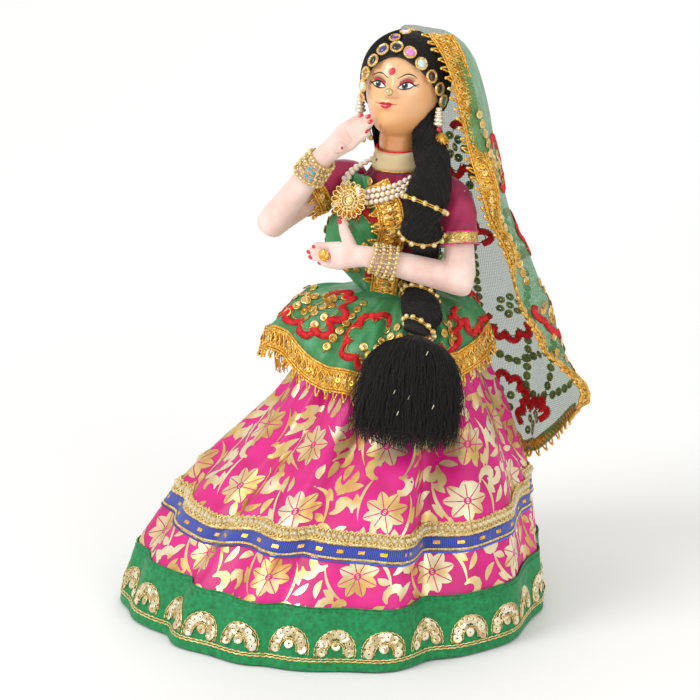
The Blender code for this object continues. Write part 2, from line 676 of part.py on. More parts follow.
def makeBraid():
    rise = waistHeight
    out = 2.9 * spare
    top = [(37.5, 27, rise + 82.5), (42, 20.5, rise + 75), (47.2, 9.0 - out, rise + 63.5),
           (45.8, 6.6 - out, rise + 47.5), (40, 18, rise + 35.5), (38.7, 20.6, rise + 23)]
    radii = [5, 8.6, 9.4, 9.2, 7.4, 5]
    pts, rad, fl = [], [], []
    n = 20
    for i in range(n + 1):
        k = i / n * 5
        j = min(int(k), 4)
        pts.append(along(top[j], top[j + 1], k - j))
        r = radii[j] + (radii[j + 1] - radii[j]) * (k - j)
        rad.append(r * (0.84 + 0.16 * abs(math.cos(math.pi * i / 4))))
        fl.append(0.62)
    sweep("braid_upper", pts, rad, hair, 14, fl, (0.518, -0.798, 0.309))
    low = [(39.2, 19.6, rise + 18.5), (44.5, 9.5, rise + 10.5), offSkirt(-41.4, -4.0, 25.1), offSkirt(-45.2, 1.7, 28.7)]
    radii = [4.5, 8.6, 9.0, 6]
    pts, rad, fl = [], [], []
    n = 12
    for i in range(n + 1):
        k = i / n * 3
        j = min(int(k), 2)
        pts.append(along(low[j], low[j + 1], k - j))
        r = radii[j] + (radii[j + 1] - radii[j]) * (k - j)
        rad.append(r * (0.84 + 0.16 * abs(math.cos(math.pi * i / 4))))
        fl.append(0.62)
    sweep("braid_lower", pts, rad, hair, 14, fl, (0.518, -0.798, 0.309))
    tie = offSkirt(-46.2, 4.0, 28.6)
    path = [offSkirt(-46.5, 4.5, 28.5), offSkirt(-48.1, 10.5, 29.5), offSkirt(-50.8, 21.0, 31.1),
            offSkirt(-51.0, 34.0, 30.8), offSkirt(-50.8, 45.0, 28.0), offSkirt(-50.7, 50.0, 26.0)]
    tuft = sweep("braid_tassel", path, [6, 15, 22, 26, 25, 20], hair, 14, [0.8, 0.6, 0.45, 0.4, 0.38, 0.3],
                 (0.518, -0.798, 0.309))
    setOrigin(tuft, tie)


def makeNeckJewels():
    x, y = torsoAxis
    hoop("choker", (x, y, torsoTop + 5.5), (0, 0, 1), neckRadius + 3.0, 1.9, gold, 24, 6, 1.3)
    pend = (3.5, 6.5, torsoTop - 12.5)
    axis = (-0.25, -0.93, 0.26)
    turned("pendant", [(4.0, -1.2), (9.2, -0.9), (9.2, 0.5), (5.5, 1.1), (3.0, 2.2), (0, 2.6)], pend, metal, 20, axis)
    for i, (lift, wide) in enumerate(((0.0, 0.0), (3.4, 3.0))):
        path = []
        for k in range(13):
            t = k / 12
            w = math.radians(-176 + 150 * t)
            sag = math.sin(math.pi * min(1.0, t / 0.75) * 0.5) if t < 0.42 else math.cos(math.pi * 0.5 * (t - 0.42) / 0.58)
            z = torsoTop - 0.5 - (12 + lift * 1.6) * max(0.0, sag)
            a, b = torsoHalf(z)
            off = 6.9 + wide
            path.append((x + (min(a, 15) + off - 2) * math.cos(w), y + (b + off) * math.sin(w), z))
        beads("pearl_strand_%d" % (i + 1), path, beadRadius, 0.5, 16, pearl, 5)
    ball("pendant_drop", (2.8, 4.6, torsoTop - 25.5), (2.0, 2.0, 2.8), pearl, 10, 6)


def makeAll():
    makeStand()
    makeStuffing()
    half = clothThick / 2
    skirtBand("skirt", 0.6, waistHeight - 1.0, -half, half, satin)
    over = half + layerGap
    skirtBand("hem_border", 0.4, hemBorderTop, over, over + trimThick, green)
    skirtBand("trim_braid", trimLow, trimSplit, over, over + trimThick, blue)
    skirtBand("trim_beads", trimSplit + 0.4, trimHigh, over, over + trimThick + 0.8, metal)
    bodyShell("waistband", waistHeight + 0.4, waistHeight + 6.0, 0.6, 2.0, 0, 360, satin)
    makeTorso()
    bodyShell("blouse", waistHeight + 8.0, torsoTop - 1.0, 0.5, 1.9, 0, 360, maroon)
    makeHead()
    makeHair()
    makeHeadJewels()
    makeArm("left", shoulderLeft, elbowLeft, wristLeft, tipsLeft, (-8.0, 1.0, 17.5), (-2.5, 16.5),
            (0.518, -0.798, 0.309), (4, 4.0, 3.6),
            (12.0, 23.0, 34.0, 45.0))
    makeArm("right", shoulderRight, elbowRight, wristRight, tipsRight, (8.0, -9.0, 4.0), (-2.0, 10.5),
            (0.518, -0.798, 0.309), (3, 4.0, 3.6))
    makeVeil()
    makeFront()
    makeBraid()
    makeNeckJewels()


makeAll()
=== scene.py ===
import bpy
import bmesh
import math
import numpy as np
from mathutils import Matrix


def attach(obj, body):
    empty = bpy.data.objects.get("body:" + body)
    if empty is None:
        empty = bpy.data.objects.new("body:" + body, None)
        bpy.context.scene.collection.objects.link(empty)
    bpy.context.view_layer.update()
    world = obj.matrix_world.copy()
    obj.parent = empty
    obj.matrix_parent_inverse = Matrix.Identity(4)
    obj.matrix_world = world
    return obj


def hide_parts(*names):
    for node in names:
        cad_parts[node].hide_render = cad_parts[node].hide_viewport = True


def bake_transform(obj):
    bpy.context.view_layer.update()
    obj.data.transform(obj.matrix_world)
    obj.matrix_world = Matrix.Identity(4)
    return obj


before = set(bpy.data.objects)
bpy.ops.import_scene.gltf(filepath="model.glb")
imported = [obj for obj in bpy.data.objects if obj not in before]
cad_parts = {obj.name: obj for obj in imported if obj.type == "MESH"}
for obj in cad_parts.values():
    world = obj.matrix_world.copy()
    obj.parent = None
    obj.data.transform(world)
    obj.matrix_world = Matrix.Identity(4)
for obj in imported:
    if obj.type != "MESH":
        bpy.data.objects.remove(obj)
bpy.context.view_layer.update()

# A dressed display doll, about 30 cm tall. Lengths below are millimetres, points are turned to metres
# only when a mesh is filled. She faces -Y, her left is +X, the shelf is z = 0.

# ---------- camera first: three quarters from her left, a little above
view = dict(azimuth=33.0, elevation=18.0, distance=2.5, across=0.350, aim=(0.0076, 0.0002, 0.1337))


def placeCamera(v):
    a, e = math.radians(v["azimuth"]), math.radians(v["elevation"])
    back = np.array([math.sin(a) * math.cos(e), -math.cos(a) * math.cos(e), math.sin(e)])
    cam = bpy.data.cameras.new("mainCamera")
    cam.sensor_width = 36.0
    cam.lens = 36.0 * v["distance"] / v["across"]
    cam.clip_end = 20.0
    ob = bpy.data.objects.new("mainCamera", cam)
    ob.location = np.array(v["aim"]) + back * v["distance"]
    ob.rotation_euler = (math.radians(90.0) - e, 0.0, a)
    bpy.context.scene.collection.objects.link(ob)
    bpy.context.scene.camera = ob


placeCamera(view)


# ---------- small tools for meshes
def smooth01(x, low, high):
    # eases from 0 at low to 1 at high
    t = np.clip((np.asarray(x, float) - low) / (high - low), 0, 1)
    return t * t * (3 - 2 * t)


def table(x, pairs):
    # straight-line values between (x, value) pairs
    p = np.array(pairs, float)
    return np.interp(x, p[:, 0], p[:, 1])


def curve(x, pairs):
    # the same with rounded corners: the average of five nearby readings
    p = np.array(pairs, float)
    reach = (p[-1, 0] - p[0, 0]) * 0.035
    return sum(np.interp(np.asarray(x) + reach * k, p[:, 0], p[:, 1]) for k in (-1.0, -0.5, 0, 0.5, 1.0)) / 5


def unit(v):
    return v / np.maximum(np.linalg.norm(v, axis=-1, keepdims=True), 1e-12)


def quads(rows, cols, wrap=False, wrapRows=False, flip=False):
    # faces of a grid of points, row by row
    i = np.arange(rows if wrapRows else rows - 1)[:, None]
    j = np.arange(cols if wrap else cols - 1)[None, :]
    i2, j2 = (i + 1) % rows, (j + 1) % cols
    f = np.stack([i * cols + j, i * cols + j2, i2 * cols + j2, i2 * cols + j], -1).reshape(-1, 4)
    return f[:, ::-1] if flip else f


def grid(points, wrap=False, wrapRows=False, flip=False, caps=False, uv=None):
    # one part from a (rows, cols, 3) array
    rows, cols = points.shape[:2]
    faces = quads(rows, cols, wrap, wrapRows, flip).tolist()
    if caps:
        faces += [list(range(cols)), list(range(rows * cols - 1, (rows - 1) * cols - 1, -1))]
    return points.reshape(-1, 3), faces, None if uv is None else np.asarray(uv).reshape(-1, 2)


def strands(paths, radii, sides=6, flat=1.0, ref=(0.13, 0.21, 1.0), caps=True, loop=False):
    # round cords: a ring of points about each point of each path; paths is (cords, points, 3)
    p = np.asarray(paths, float)
    if p.ndim == 2:
        p = p[None]
    t = (np.roll(p, -1, 1) - np.roll(p, 1, 1)) if loop else np.gradient(p, axis=1)
    t = unit(t)
    ref = np.broadcast_to(np.asarray(ref, float), p.shape)
    a = unit(np.cross(t, ref))
    b = np.cross(t, a)
    r = np.broadcast_to(np.asarray(radii, float), p.shape[:2])[..., None, None]
    q = np.linspace(0, 2 * np.pi, sides, endpoint=False)
    ring = p[:, :, None] + r * (a[:, :, None] * np.cos(q)[:, None] + flat * b[:, :, None] * np.sin(q)[:, None])
    count, n = p.shape[:2]
    f = quads(n, sides, True, loop)
    size = n * sides
    faces = (f[None] + size * np.arange(count)[:, None, None]).reshape(-1, 4).tolist()
    if caps and not loop:
        first = np.arange(sides)[None] + size * np.arange(count)[:, None]
        faces += first[:, ::-1].tolist() + (first + size - sides).tolist()
    uv = np.stack(np.broadcast_arrays(np.linspace(0, 1, n)[None, :, None], q[None, None] / 6.2832), -1)
    uv = np.broadcast_to(uv, (count, n, sides, 2)).reshape(-1, 2)
    return ring.reshape(-1, 3), faces, uv


def turned(profile, sides=16, smoothRows=None):
    # a small turned shape about +Z from (radius, height) pairs, in millimetres
    p = np.array(profile, float)
    q = np.linspace(0, 2 * np.pi, sides, endpoint=False)
    pts = np.stack([p[:, :1] * np.cos(q), p[:, :1] * np.sin(q), np.repeat(p[:, 1:], sides, 1)], -1)
    return pts.reshape(-1, 3), quads(len(p), sides, True), None


def scatter(shape, at, axes, size=1.0):
    # copies of one small shape: axes is (copies, 3, 3), the rows being its x, y and z
    pts, faces, uv = shape
    at = np.asarray(at, float).reshape(-1, 3)
    axes = np.broadcast_to(axes, (len(at), 3, 3))
    size = np.broadcast_to(np.asarray(size, float).reshape(-1, 1, 1), (len(at), 1, 1))
    out = at[:, None] + size * (pts[None] @ axes)
    f = np.asarray(faces)
    f = (f[None] + len(pts) * np.arange(len(at))[:, None, None]).reshape(-1, f.shape[1])
    return out.reshape(-1, 3), f.tolist(), None


def makePiece(name, parts, materials, closed=True, smooth=True):
    # parts: a list of (points, faces, uv), each with the material of the same place in the list
    parts = parts if isinstance(parts, list) else [parts]
    materials = materials if isinstance(materials, list) else [materials] * len(parts)
    kinds = list(dict.fromkeys(m.name for m in materials))
    points, faces, index, uvs, base = [], [], [], [], 0
    for (p, f, uv), m in zip(parts, materials):
        f = f.tolist() if isinstance(f, np.ndarray) else f
        points.append(p)
        faces += [[k + base for k in row] for row in f]
        index += [kinds.index(m.name)] * len(f)
        uvs.append(np.zeros((len(p), 2)) if uv is None else uv)
        base += len(p)
    mesh = bpy.data.meshes.new(name)
    mesh.from_pydata(np.concatenate(points) / 1000.0, [], faces)
    mesh.polygons.foreach_set("material_index", index)
    layer = mesh.uv_layers.new(name="clothUv")
    corner = np.zeros(len(mesh.loops), np.int32)
    mesh.loops.foreach_get("vertex_index", corner)
    layer.data.foreach_set("uv", np.concatenate(uvs)[corner].astype(np.float32).ravel())
    for k in kinds:
        mesh.materials.append(bpy.data.materials[k])
    if closed:
        bm = bmesh.new()
        bm.from_mesh(mesh)
        bmesh.ops.recalc_face_normals(bm, faces=bm.faces)
        bm.to_mesh(mesh)
        bm.free()
    mesh.polygons.foreach_set("use_smooth", [smooth] * len(mesh.polygons))
    ob = bpy.data.objects.new(name, mesh)
    bpy.context.scene.collection.objects.link(ob)
    return ob


def thicken(ob, mm, offset=0.0):
    mod = ob.modifiers.new("thickness", "SOLIDIFY")
    mod.thickness = mm / 1000.0
    mod.offset = offset
    return ob


def framesOn(surface, u, v, du, dv):
    # the point, and the unit directions along u, along v and out, of surface(u, v)
    p = surface(u, v)
    a = unit(surface(u + du, v) - surface(u - du, v))
    b = unit(surface(u, v + dv) - surface(u, v - dv))
    n = unit(np.cross(a, b))
    return p, np.stack([a, np.cross(n, a), n], -2)


# ---------- small tools for materials
def toLinear(code):
    c = np.array([int(code[k:k + 2], 16) for k in (1, 3, 5)]) / 255.0
    lin = np.where(c <= 0.04045, c / 12.92, ((c + 0.055) / 1.055) ** 2.4)
    return (*[float(x) for x in lin], 1.0)


def addNode(tree, kind, feeds=None, **settings):
    # adds a node; settings are its own fields, feeds are socket values or (node, socket) links
    node = tree.nodes.new(kind)
    for key, value in settings.items():
        setattr(node, key, value)
    for key, value in (feeds or {}).items():
        if isinstance(value, tuple) and hasattr(value[0], "outputs"):
            tree.links.new(value[0].outputs[value[1]], node.inputs[key])
        else:
            node.inputs[key].default_value = value
    return node


def newMaterial(name, colour, roughness, **sockets):
    mat = bpy.data.materials.new(name)
    mat.use_nodes = True
    mat.diffuse_color = toLinear(colour)
    shader = mat.node_tree.nodes["Principled BSDF"]
    shader.inputs["Base Color"].default_value = toLinear(colour)
    shader.inputs["Roughness"].default_value = roughness
    for key, value in sockets.items():
        shader.inputs[key.replace("_", " ")].default_value = value
    return mat, mat.node_tree, shader


def ramp(tree, source, stops):
    # colour ramp from (position, hex) stops
    node = addNode(tree, "ShaderNodeValToRGB", {"Fac": source})
    while len(node.color_ramp.elements) < len(stops):
        node.color_ramp.elements.new(0.5)
    for e, (at, code) in zip(node.color_ramp.elements, stops):
        e.position = at
        e.color = toLinear(code)
    return node


def addBump(tree, shader, source, strength, distanceMm):
    bump = addNode(tree, "ShaderNodeBump", {"Strength": strength, "Distance": distanceMm / 1000.0,
                                            "Height": source})
    tree.links.new(bump.outputs["Normal"], shader.inputs["Normal"])
    return bump


def weaveNodes(tree, threadMm, twill=False, uv=False):
    # crossed threads: two sets of waves, one thread spacing apart, the higher of the two on top
    coord = addNode(tree, "ShaderNodeTexCoord")
    socket = "UV" if uv else "Object"
    scale = 1000.0 / threadMm / 6.2832 * 3.1416
    waves = []
    for turn in (0.785, -0.785) if twill else (0.0, 1.5708):
        place = addNode(tree, "ShaderNodeMapping", {"Vector": (coord, socket), "Rotation": (turn, turn * 0.5, turn)})
        waves.append(addNode(tree, "ShaderNodeTexWave", {"Vector": (place, 0), "Scale": scale / 3.1416,
                                                         "Distortion": 1.2, "Detail": 1.0}))
    return addNode(tree, "ShaderNodeMath", {0: (waves[0], 1), 1: (waves[1], 1)}, operation="MAXIMUM")


# satin: long floats of filament, woven then pressed, so it shines in broad soft streaks
def satinMagenta():
    mat, tree, shader = newMaterial("satinWovenMagenta", "#D8107E", 0.45, Sheen_Weight=0.18, Sheen_Roughness=0.35)
    coord = addNode(tree, "ShaderNodeTexCoord")
    soft = addNode(tree, "ShaderNodeTexNoise", {"Vector": (coord, "Object"), "Scale": 60.0, "Detail": 4.0})
    tint = ramp(tree, (soft, 0), [(0.25, "#BC0A66"), (0.5, "#D8107E"), (0.8, "#E62090")])
    tree.links.new(tint.outputs[0], shader.inputs["Base Color"])
    weave = weaveNodes(tree, 0.5, uv=False)     # threads of 0.2 mm, drawn at 0.5 mm to show
    addBump(tree, shader, (weave, 0), 0.10, 0.15)
    shader.inputs["Sheen Tint"].default_value = toLinear("#FF70C0")
    return mat


# foil: thin gold leaf hot-pressed on to the satin, cracked a little where the cloth bends
def foilGold():
    mat, tree, shader = newMaterial("foilPressedGold", "#E2C07A", 0.34, Metallic=0.6)
    coord = addNode(tree, "ShaderNodeTexCoord")
    broad = addNode(tree, "ShaderNodeTexNoise", {"Vector": (coord, "Object"), "Scale": 45.0, "Detail": 3.0})
    tint = ramp(tree, (broad, 0), [(0.30, "#C9924A"), (0.46, "#E2BF78"), (0.62, "#F8E9C4"), (0.9, "#EBCB92")])
    tree.links.new(tint.outputs[0], shader.inputs["Base Color"])
    fine = addNode(tree, "ShaderNodeTexNoise", {"Vector": (coord, "Object"), "Scale": 900.0, "Detail": 2.0})
    rough = addNode(tree, "ShaderNodeMapRange", {"Value": (fine, 0), "To Min": 0.22, "To Max": 0.5})
    tree.links.new(rough.outputs[0], shader.inputs["Roughness"])
    addBump(tree, shader, (fine, 0), 0.25, 0.08)
    return mat


# metallised thread: plastic foil wound on cotton, so it glitters in short dashes; each dash gets its own shade of gold,
# dark to pale, as painted glints
def threadGold(name="threadMetallicGold", low="#C98612", mid="#F2B02C", high="#FFE48E"):
    mat, tree, shader = newMaterial(name, mid, 0.34, Metallic=0.5)
    coord = addNode(tree, "ShaderNodeTexCoord")
    dash = addNode(tree, "ShaderNodeTexVoronoi", {"Vector": (coord, "Object"), "Scale": 1500.0})
    # dash colours from dark to pale gold: painted glints
    tint = ramp(tree, (dash, "Color"), [(0.1, low), (0.5, mid), (0.9, high)])
    tree.links.new(tint.outputs[0], shader.inputs["Base Color"])
    rough = addNode(tree, "ShaderNodeMapRange", {"Value": (dash, 0), "To Min": 0.2, "To Max": 0.5})
    tree.links.new(rough.outputs[0], shader.inputs["Roughness"])
    addBump(tree, shader, (dash, 0), 0.4, 0.15)
    return mat


# sequins: stamped metallised film, each tilted a little, so each catches its own light; besides, the colour runs dark
# to pale in patches about a sequin wide, painted glints
def sequinFilm(name, low, mid, high):
    mat, tree, shader = newMaterial(name, mid, 0.2, Metallic=0.72)
    coord = addNode(tree, "ShaderNodeTexCoord")
    cells = addNode(tree, "ShaderNodeTexVoronoi", {"Vector": (coord, "Object"), "Scale": 260.0})
    # cell colours from dark to pale: painted glints
    tint = ramp(tree, (cells, "Color"), [(0.1, low), (0.5, mid), (0.85, high)])
    tree.links.new(tint.outputs[0], shader.inputs["Base Color"])
    return mat


# felted green border cloth: dull, close, with short fibres
def feltGreen():
    mat, tree, shader = newMaterial("satinBackedGreen", "#068547", 0.68, Sheen_Weight=0.12, Sheen_Roughness=0.4)
    coord = addNode(tree, "ShaderNodeTexCoord")
    broad = addNode(tree, "ShaderNodeTexNoise", {"Vector": (coord, "Object"), "Scale": 420.0, "Detail": 5.0})
    tint = ramp(tree, (broad, 0), [(0.3, "#046A36"), (0.55, "#068547"), (0.8, "#0E9A56")])
    tree.links.new(tint.outputs[0], shader.inputs["Base Color"])
    weave = weaveNodes(tree, 0.55)
    addBump(tree, shader, (weave, 0), 0.25, 0.2)
    return mat


# ribbed rayon braid: raised cords side by side, each with a soft shine; the colour follows the ribs, dark in the
# grooves and light on the crests, painted shade and painted highlight
def braidBlue():
    mat, tree, shader = newMaterial("braidRayonBlue", "#2238A8", 0.5, Sheen_Weight=0.3)
    coord = addNode(tree, "ShaderNodeTexCoord")
    rib = addNode(tree, "ShaderNodeTexWave", {"Vector": (coord, "UV"), "Scale": 0.32, "Distortion": 0.3},
                  bands_direction="X")
    # dark in the grooves, light on the rib crests: painted shade and painted highlight
    tint = ramp(tree, (rib, 1), [(0.1, "#14237C"), (0.5, "#2238A8"), (0.9, "#3D59CC")])
    tree.links.new(tint.outputs[0], shader.inputs["Base Color"])
    addBump(tree, shader, (rib, 1), 0.7, 0.5)
    return mat


# clear cut stones and beads
def stone(name, colour, roughness=0.06):
    mat, tree, shader = newMaterial(name, colour, roughness, Coat_Weight=1.0, Coat_Roughness=0.03)
    coord = addNode(tree, "ShaderNodeTexCoord")
    facet = addNode(tree, "ShaderNodeTexVoronoi", {"Vector": (coord, "Object"), "Scale": 1100.0})
    addBump(tree, shader, (facet, 0), 0.35, 0.25)
    return mat


mats = dict(
    satin=satinMagenta(), foil=foilGold(), gold=threadGold(),
    paleGold=threadGold("threadPaleGold", "#BE9540", "#E6C87C", "#FFF2C8"),
    sequinPale=sequinFilm("sequinFilmPale", "#C7A873", "#EBD8AE", "#FFF8E2"),
    sequinGold=sequinFilm("sequinFilmGold", "#9A6E1E", "#DCA63C", "#FFE39A"),
    felt=feltGreen(), blue=braidBlue(), clear=stone("beadClearGlass", "#D8C9A6"),
)

# ---------- skirt surface: the angle w runs round, s is millimetres up the slope from the hem
skirt = dict(hem=104.5, waist=20.0, height=153.0, lean=(15.0, 30.0), wave=4.6, gather=1.7, deepFold=11.0,
             seamAt=-1.18, across=560, up=128)
slope = [(0, 1.0), (0.2, 0.93), (0.42, 0.755), (0.65, 0.45), (0.86, 0.215), (1, 0)]
leanBy = [(0, 0.0), (0.2, 0.12), (0.42, 0.43), (0.65, 0.85), (0.86, 1.0), (1, 1.0)]


def skirtRound(w, h):
    # radius by height share h, plus folds: waves that shift sideways as they climb, fine gathers near the
    # waist, and a few single pressed-in folds
    r = skirt["waist"] + (skirt["hem"] - skirt["waist"]) * curve(h, slope)
    body = table(h, [(0, 0.5), (0.12, 0.7), (0.3, 1.0), (0.6, 1.25), (0.85, 0.7), (1, 0.15)])
    f = 0.45 * np.cos(8 * w + 0.4) + 0.5 * np.cos(11 * w + 1.9 + 1.1 * h) + 0.32 * np.cos(17 * w + 0.3 - 1.6 * h)
    f = f + 0.22 * np.cos(5 * w - 0.8 + 0.7 * h)
    r = r + skirt["wave"] * body * f
    fine = smooth01(h, 0.55, 0.95) * (1 - 0.7 * smooth01(h, 0.93, 1.0))
    r = r + skirt["gather"] * fine * (np.cos(29 * w + 2.0 * h) + 0.5 * np.cos(43 * w + 1.0))
    flare = np.angle(np.exp(1j * (w + 2.57)))       # the hem is pulled out to her right
    r = r + 4.0 * np.exp(-(flare / 0.55) ** 2) * (1 - np.asarray(h)) ** 1.6
    for at, lean, wide, deep in ((-1.86, 0.25, 0.085, 1.0), (-2.45, -0.15, 0.10, 0.7), (-0.62, -0.2, 0.09, 0.6),
                                 (-1.30, 0.1, 0.07, 0.45), (0.35, 0.1, 0.10, 0.6), (1.9, 0.2, 0.1, 0.7),
                                 (2.9, -0.2, 0.1, 0.7)):
        d = np.angle(np.exp(1j * (w - at - lean * (h - 0.5))))
        r = r - skirt["deepFold"] * deep * np.exp(-(d / wide) ** 2) * table(h, [(0, 0.3), (0.35, 0.75), (0.7, 1.0), (0.9, 0.5), (1, 0.0)])
    return r


def skirtAtHeight(w, h):
    k = curve(h, leanBy)
    r = skirtRound(w, h)
    z = skirt["height"] * h
    return np.stack(np.broadcast_arrays(skirt["lean"][0] * k + r * np.cos(w), skirt["lean"][1] * k + r * np.sin(w), z), -1)


heightShares = np.linspace(0, 1, 400)
slopeRun = np.concatenate([[0], np.cumsum(np.hypot(
    np.diff(skirt["waist"] + (skirt["hem"] - skirt["waist"]) * curve(heightShares, slope)),
    np.diff(heightShares) * skirt["height"]))])


def onSkirt(w, s):
    return skirtAtHeight(w, np.interp(s, slopeRun, heightShares))


def skirtRadiusAt(s):
    h = np.interp(s, slopeRun, heightShares)
    return skirt["waist"] + (skirt["hem"] - skirt["waist"]) * curve(h, slope)


def offSkirt(w, s, lift):
    # a point lift millimetres off the cloth
    p, axes = framesOn(onSkirt, w, s, 0.004, 0.4)
    return p + axes[..., 2, :] * np.asarray(lift)[..., None]


def ribbon(name, low, high, lift, thick, material, across=720, rows=4, wave=None):
    # a band sewn round the skirt between two slope lengths
    w = np.linspace(-np.pi, np.pi, across, endpoint=False)[None, :]
    v = np.linspace(0, 1, rows)[:, None]
    s = low + (high - low) * v + (0 if wave is None else wave(w))
    dome = np.sin(np.pi * np.clip(v * 0.96 + 0.02, 0, 1)) ** 0.5 * thick
    p = offSkirt(*np.broadcast_arrays(w, s, lift + dome))
    uv = np.stack(np.broadcast_arrays(w * 100.0, v * (high - low)), -1)
    return grid(p, wrap=True, uv=uv, flip=False)


def trimWave(w):
    # where the panels were joined the bands step up and down a little
    d = np.angle(np.exp(1j * (w + 1.95)))
    drop = -6.5 * np.exp(-(np.minimum(d, 0) / 0.42) ** 2 - (np.maximum(d, 0) / 0.16) ** 2)
    return 1.2 * np.sin(3 * w + 0.5) + 0.8 * np.abs(np.sin(2.5 * w + 0.9)) + drop


def makeSkirt():
    w = np.linspace(-np.pi, np.pi, skirt["across"], endpoint=False)[None, :]
    s = np.linspace(0.5, slopeRun[-1], skirt["up"])[:, None]
    p = onSkirt(*np.broadcast_arrays(w, s))
    p[..., 2] += 0.6
    uv = np.stack(np.broadcast_arrays(w * 100, s + 0 * w), -1)
    cloth = makePiece("skirtCloth", grid(p, wrap=True, uv=uv), mats["satin"], closed=False)
    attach(cloth, "stand")
    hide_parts("skirt", "skirt_wadding")
    # one seam: a raised line of turned cloth
    s1 = np.linspace(2, slopeRun[-1] - 4, 120)
    seam = strands(offSkirt(np.full(120, skirt["seamAt"]) + 0.01 * np.sin(s1 / 30), s1, np.full(120, 0.05)), 0.32, 6)
    line = makePiece("skirtSeam", seam, mats["satin"])
    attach(line, "stand")
    return cloth, line


def leafStrips(centre, width):
    # flat shapes from centre lines (n, 2) with half widths, as rows of three points
    t = unit(np.gradient(centre, axis=-2))
    side = np.stack([-t[..., 1], t[..., 0]], -1)
    return centre[..., None, :] + side[..., None, :] * width[..., None, None] * np.array([-1, 0, 1.0])[:, None]


def bloom(petals, inner, outer, wide, points=9):
    # a flower: each petal is two narrow leaves with a thin line of cloth left between them
    t = np.linspace(0, 1, points)
    out = []
    for k in range(petals):
        a = 2 * np.pi * k / petals
        d, n = np.array([np.cos(a), np.sin(a)]), np.array([-np.sin(a), np.cos(a)])
        half = wide * np.sin(np.pi * t ** 0.8) ** 0.75 * 0.5 + 0.04
        for side in (-1, 1):
            mid = d * (inner + (outer - inner) * t)[:, None] + n * (side * (half + 0.16))[:, None]
            out.append(leafStrips(mid, half * 0.96))
    return out


def curl(start, turn, size, way, wide, points=9):
    # a comma: a line that winds in on itself, thick in the middle
    t = np.linspace(0, 1, points)
    a = turn + way * 4.3 * t
    r = size * (1 - 0.72 * t)
    mid = np.array(start) + np.stack([np.cos(a) * r, np.sin(a) * r], -1)
    return leafStrips(mid, wide * (0.25 + np.sin(np.pi * np.clip(t * 1.05, 0, 1)) ** 0.8))


def leaf(start, turn, length, bend, wide, points=9):
    # a leaf on a bent centre line
    t = np.linspace(0, 1, points)
    a = turn + bend * t
    step = np.stack([np.cos(a), np.sin(a)], -1) * length / (points - 1)
    mid = np.array(start) + np.cumsum(step, 0) - step[0]
    return leafStrips(mid, wide * np.sin(np.pi * np.clip(t, 0.02, 0.98)) ** 0.8)


def foilMotif():
    # one repeat of the print, about 34 mm across
    out = bloom(8, 1.6, 9.6, 2.5)
    out += [leaf((-0.7, 0.8 * k), 0, 1.4, 0, 0.25) for k in (-1, 0, 1)]
    # a spray: one long bent stem with leaves either side and a comma at each end
    out.append(leaf((12, -12), 1.2, 26, 1.2, 0.8))
    out.append(leaf((-13, 11), -1.9, 21, 1.0, 0.7))
    for x, y, turn, way in ((18.5, 9.0, 2.4, 1), (13.5, -14.5, 3.6, -1), (-17.5, -8.5, 0.2, 1), (-15.0, 14.5, 5.4, -1)):
        out.append(curl((x, y), turn, 5.0, way, 1.7))
    for x, y, turn, size, bend in ((14.5, -5.0, 0.1, 9.5, 0.9), (13.0, -8.0, 2.9, 6.5, -0.8), (14.5, 1.0, 2.6, 7.5, -0.9),
                                   (15.5, 3.5, 0.5, 8.5, 1.0), (9.0, 13.5, 0.9, 8.0, 0.9), (6.0, 14.5, 1.9, 7.0, -0.9),
                                   (-15.5, 5.0, 3.6, 8.5, 0.9), (-16.0, 0.5, 5.6, 7.5, -0.9), (-11.0, -13.5, 3.9, 8.5, 0.8),
                                   (-7.0, -14.5, 5.2, 8.0, -0.8), (1.5, -17.0, 5.9, 6.5, 0.6)):
        out.append(leaf((x, y), turn, size, bend, 1.65))
    return np.array(out)                        # (strips, points, 3, 2)


foilPrint = dict(pitch=45.0, firstRow=34.0, lift=0.16, seed=5)


def stripFaces(count, points):
    f = quads(points, 3)
    return (f[None] + points * 3 * np.arange(count)[:, None, None]).reshape(-1, 4)


def makeFoil():
    rng = np.random.default_rng(foilPrint["seed"])
    motif = foilMotif()
    strips, points = motif.shape[:2]
    ws, ss = [], []
    row = 0
    s = 12.0
    while s < slopeRun[-1] - 6:
        around = 2 * np.pi * float(skirtRadiusAt(s)) * (1.0 if s < 100 else 1.12)
        n = max(5, int(round(around / foilPrint["pitch"])))
        for k in range(n):
            w0 = -np.pi + 2 * np.pi * (k + 0.5 * (row % 2) + rng.uniform(-0.06, 0.06)) / n
            turn = rng.uniform(-0.5, 0.5) + (np.pi if rng.random() < 0.5 else 0)
            size = rng.uniform(1.0, 1.16)
            c, d = math.cos(turn), math.sin(turn)
            local = motif @ np.array([[c, d], [-d, c]]) * size
            cs = s + local[..., 1] + rng.uniform(-2, 2)
            cs = np.clip(cs, 2.0, slopeRun[-1] - 3)
            ws.append(w0 + local[..., 0] / skirtRadiusAt(cs))
            ss.append(cs)
        s += foilPrint["pitch"] * 0.70
        row += 1
    w, s = np.array(ws).reshape(-1, points, 3), np.array(ss).reshape(-1, points, 3)
    p = offSkirt(w, s, np.full(w.shape, foilPrint["lift"]))
    p[..., 2] += 0.6
    ob = makePiece("skirtFoil", (p.reshape(-1, 3), stripFaces(len(p), points), None), mats["foil"], closed=False)
    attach(ob, "stand")
    return ob


ringSequin = turned([(0.35, 0.10), (0.85, 0.20), (1.75, 0.36), (2.3, 0.22), (2.2, 0.06), (0.7, 0.0), (0.35, 0.10)], 12)
hemBand = dict(top=31.0, motifs=27, cordAt=5.2, lift=0.7)


def localOnSkirt(w0, s0, xy, lift):
    # flat shapes laid on the cloth: x round the skirt and y up the slope, from the point (w0, s0)
    s = s0 + xy[..., 1]
    return offSkirt(w0 + xy[..., 0] / skirtRadiusAt(s0), s, lift)


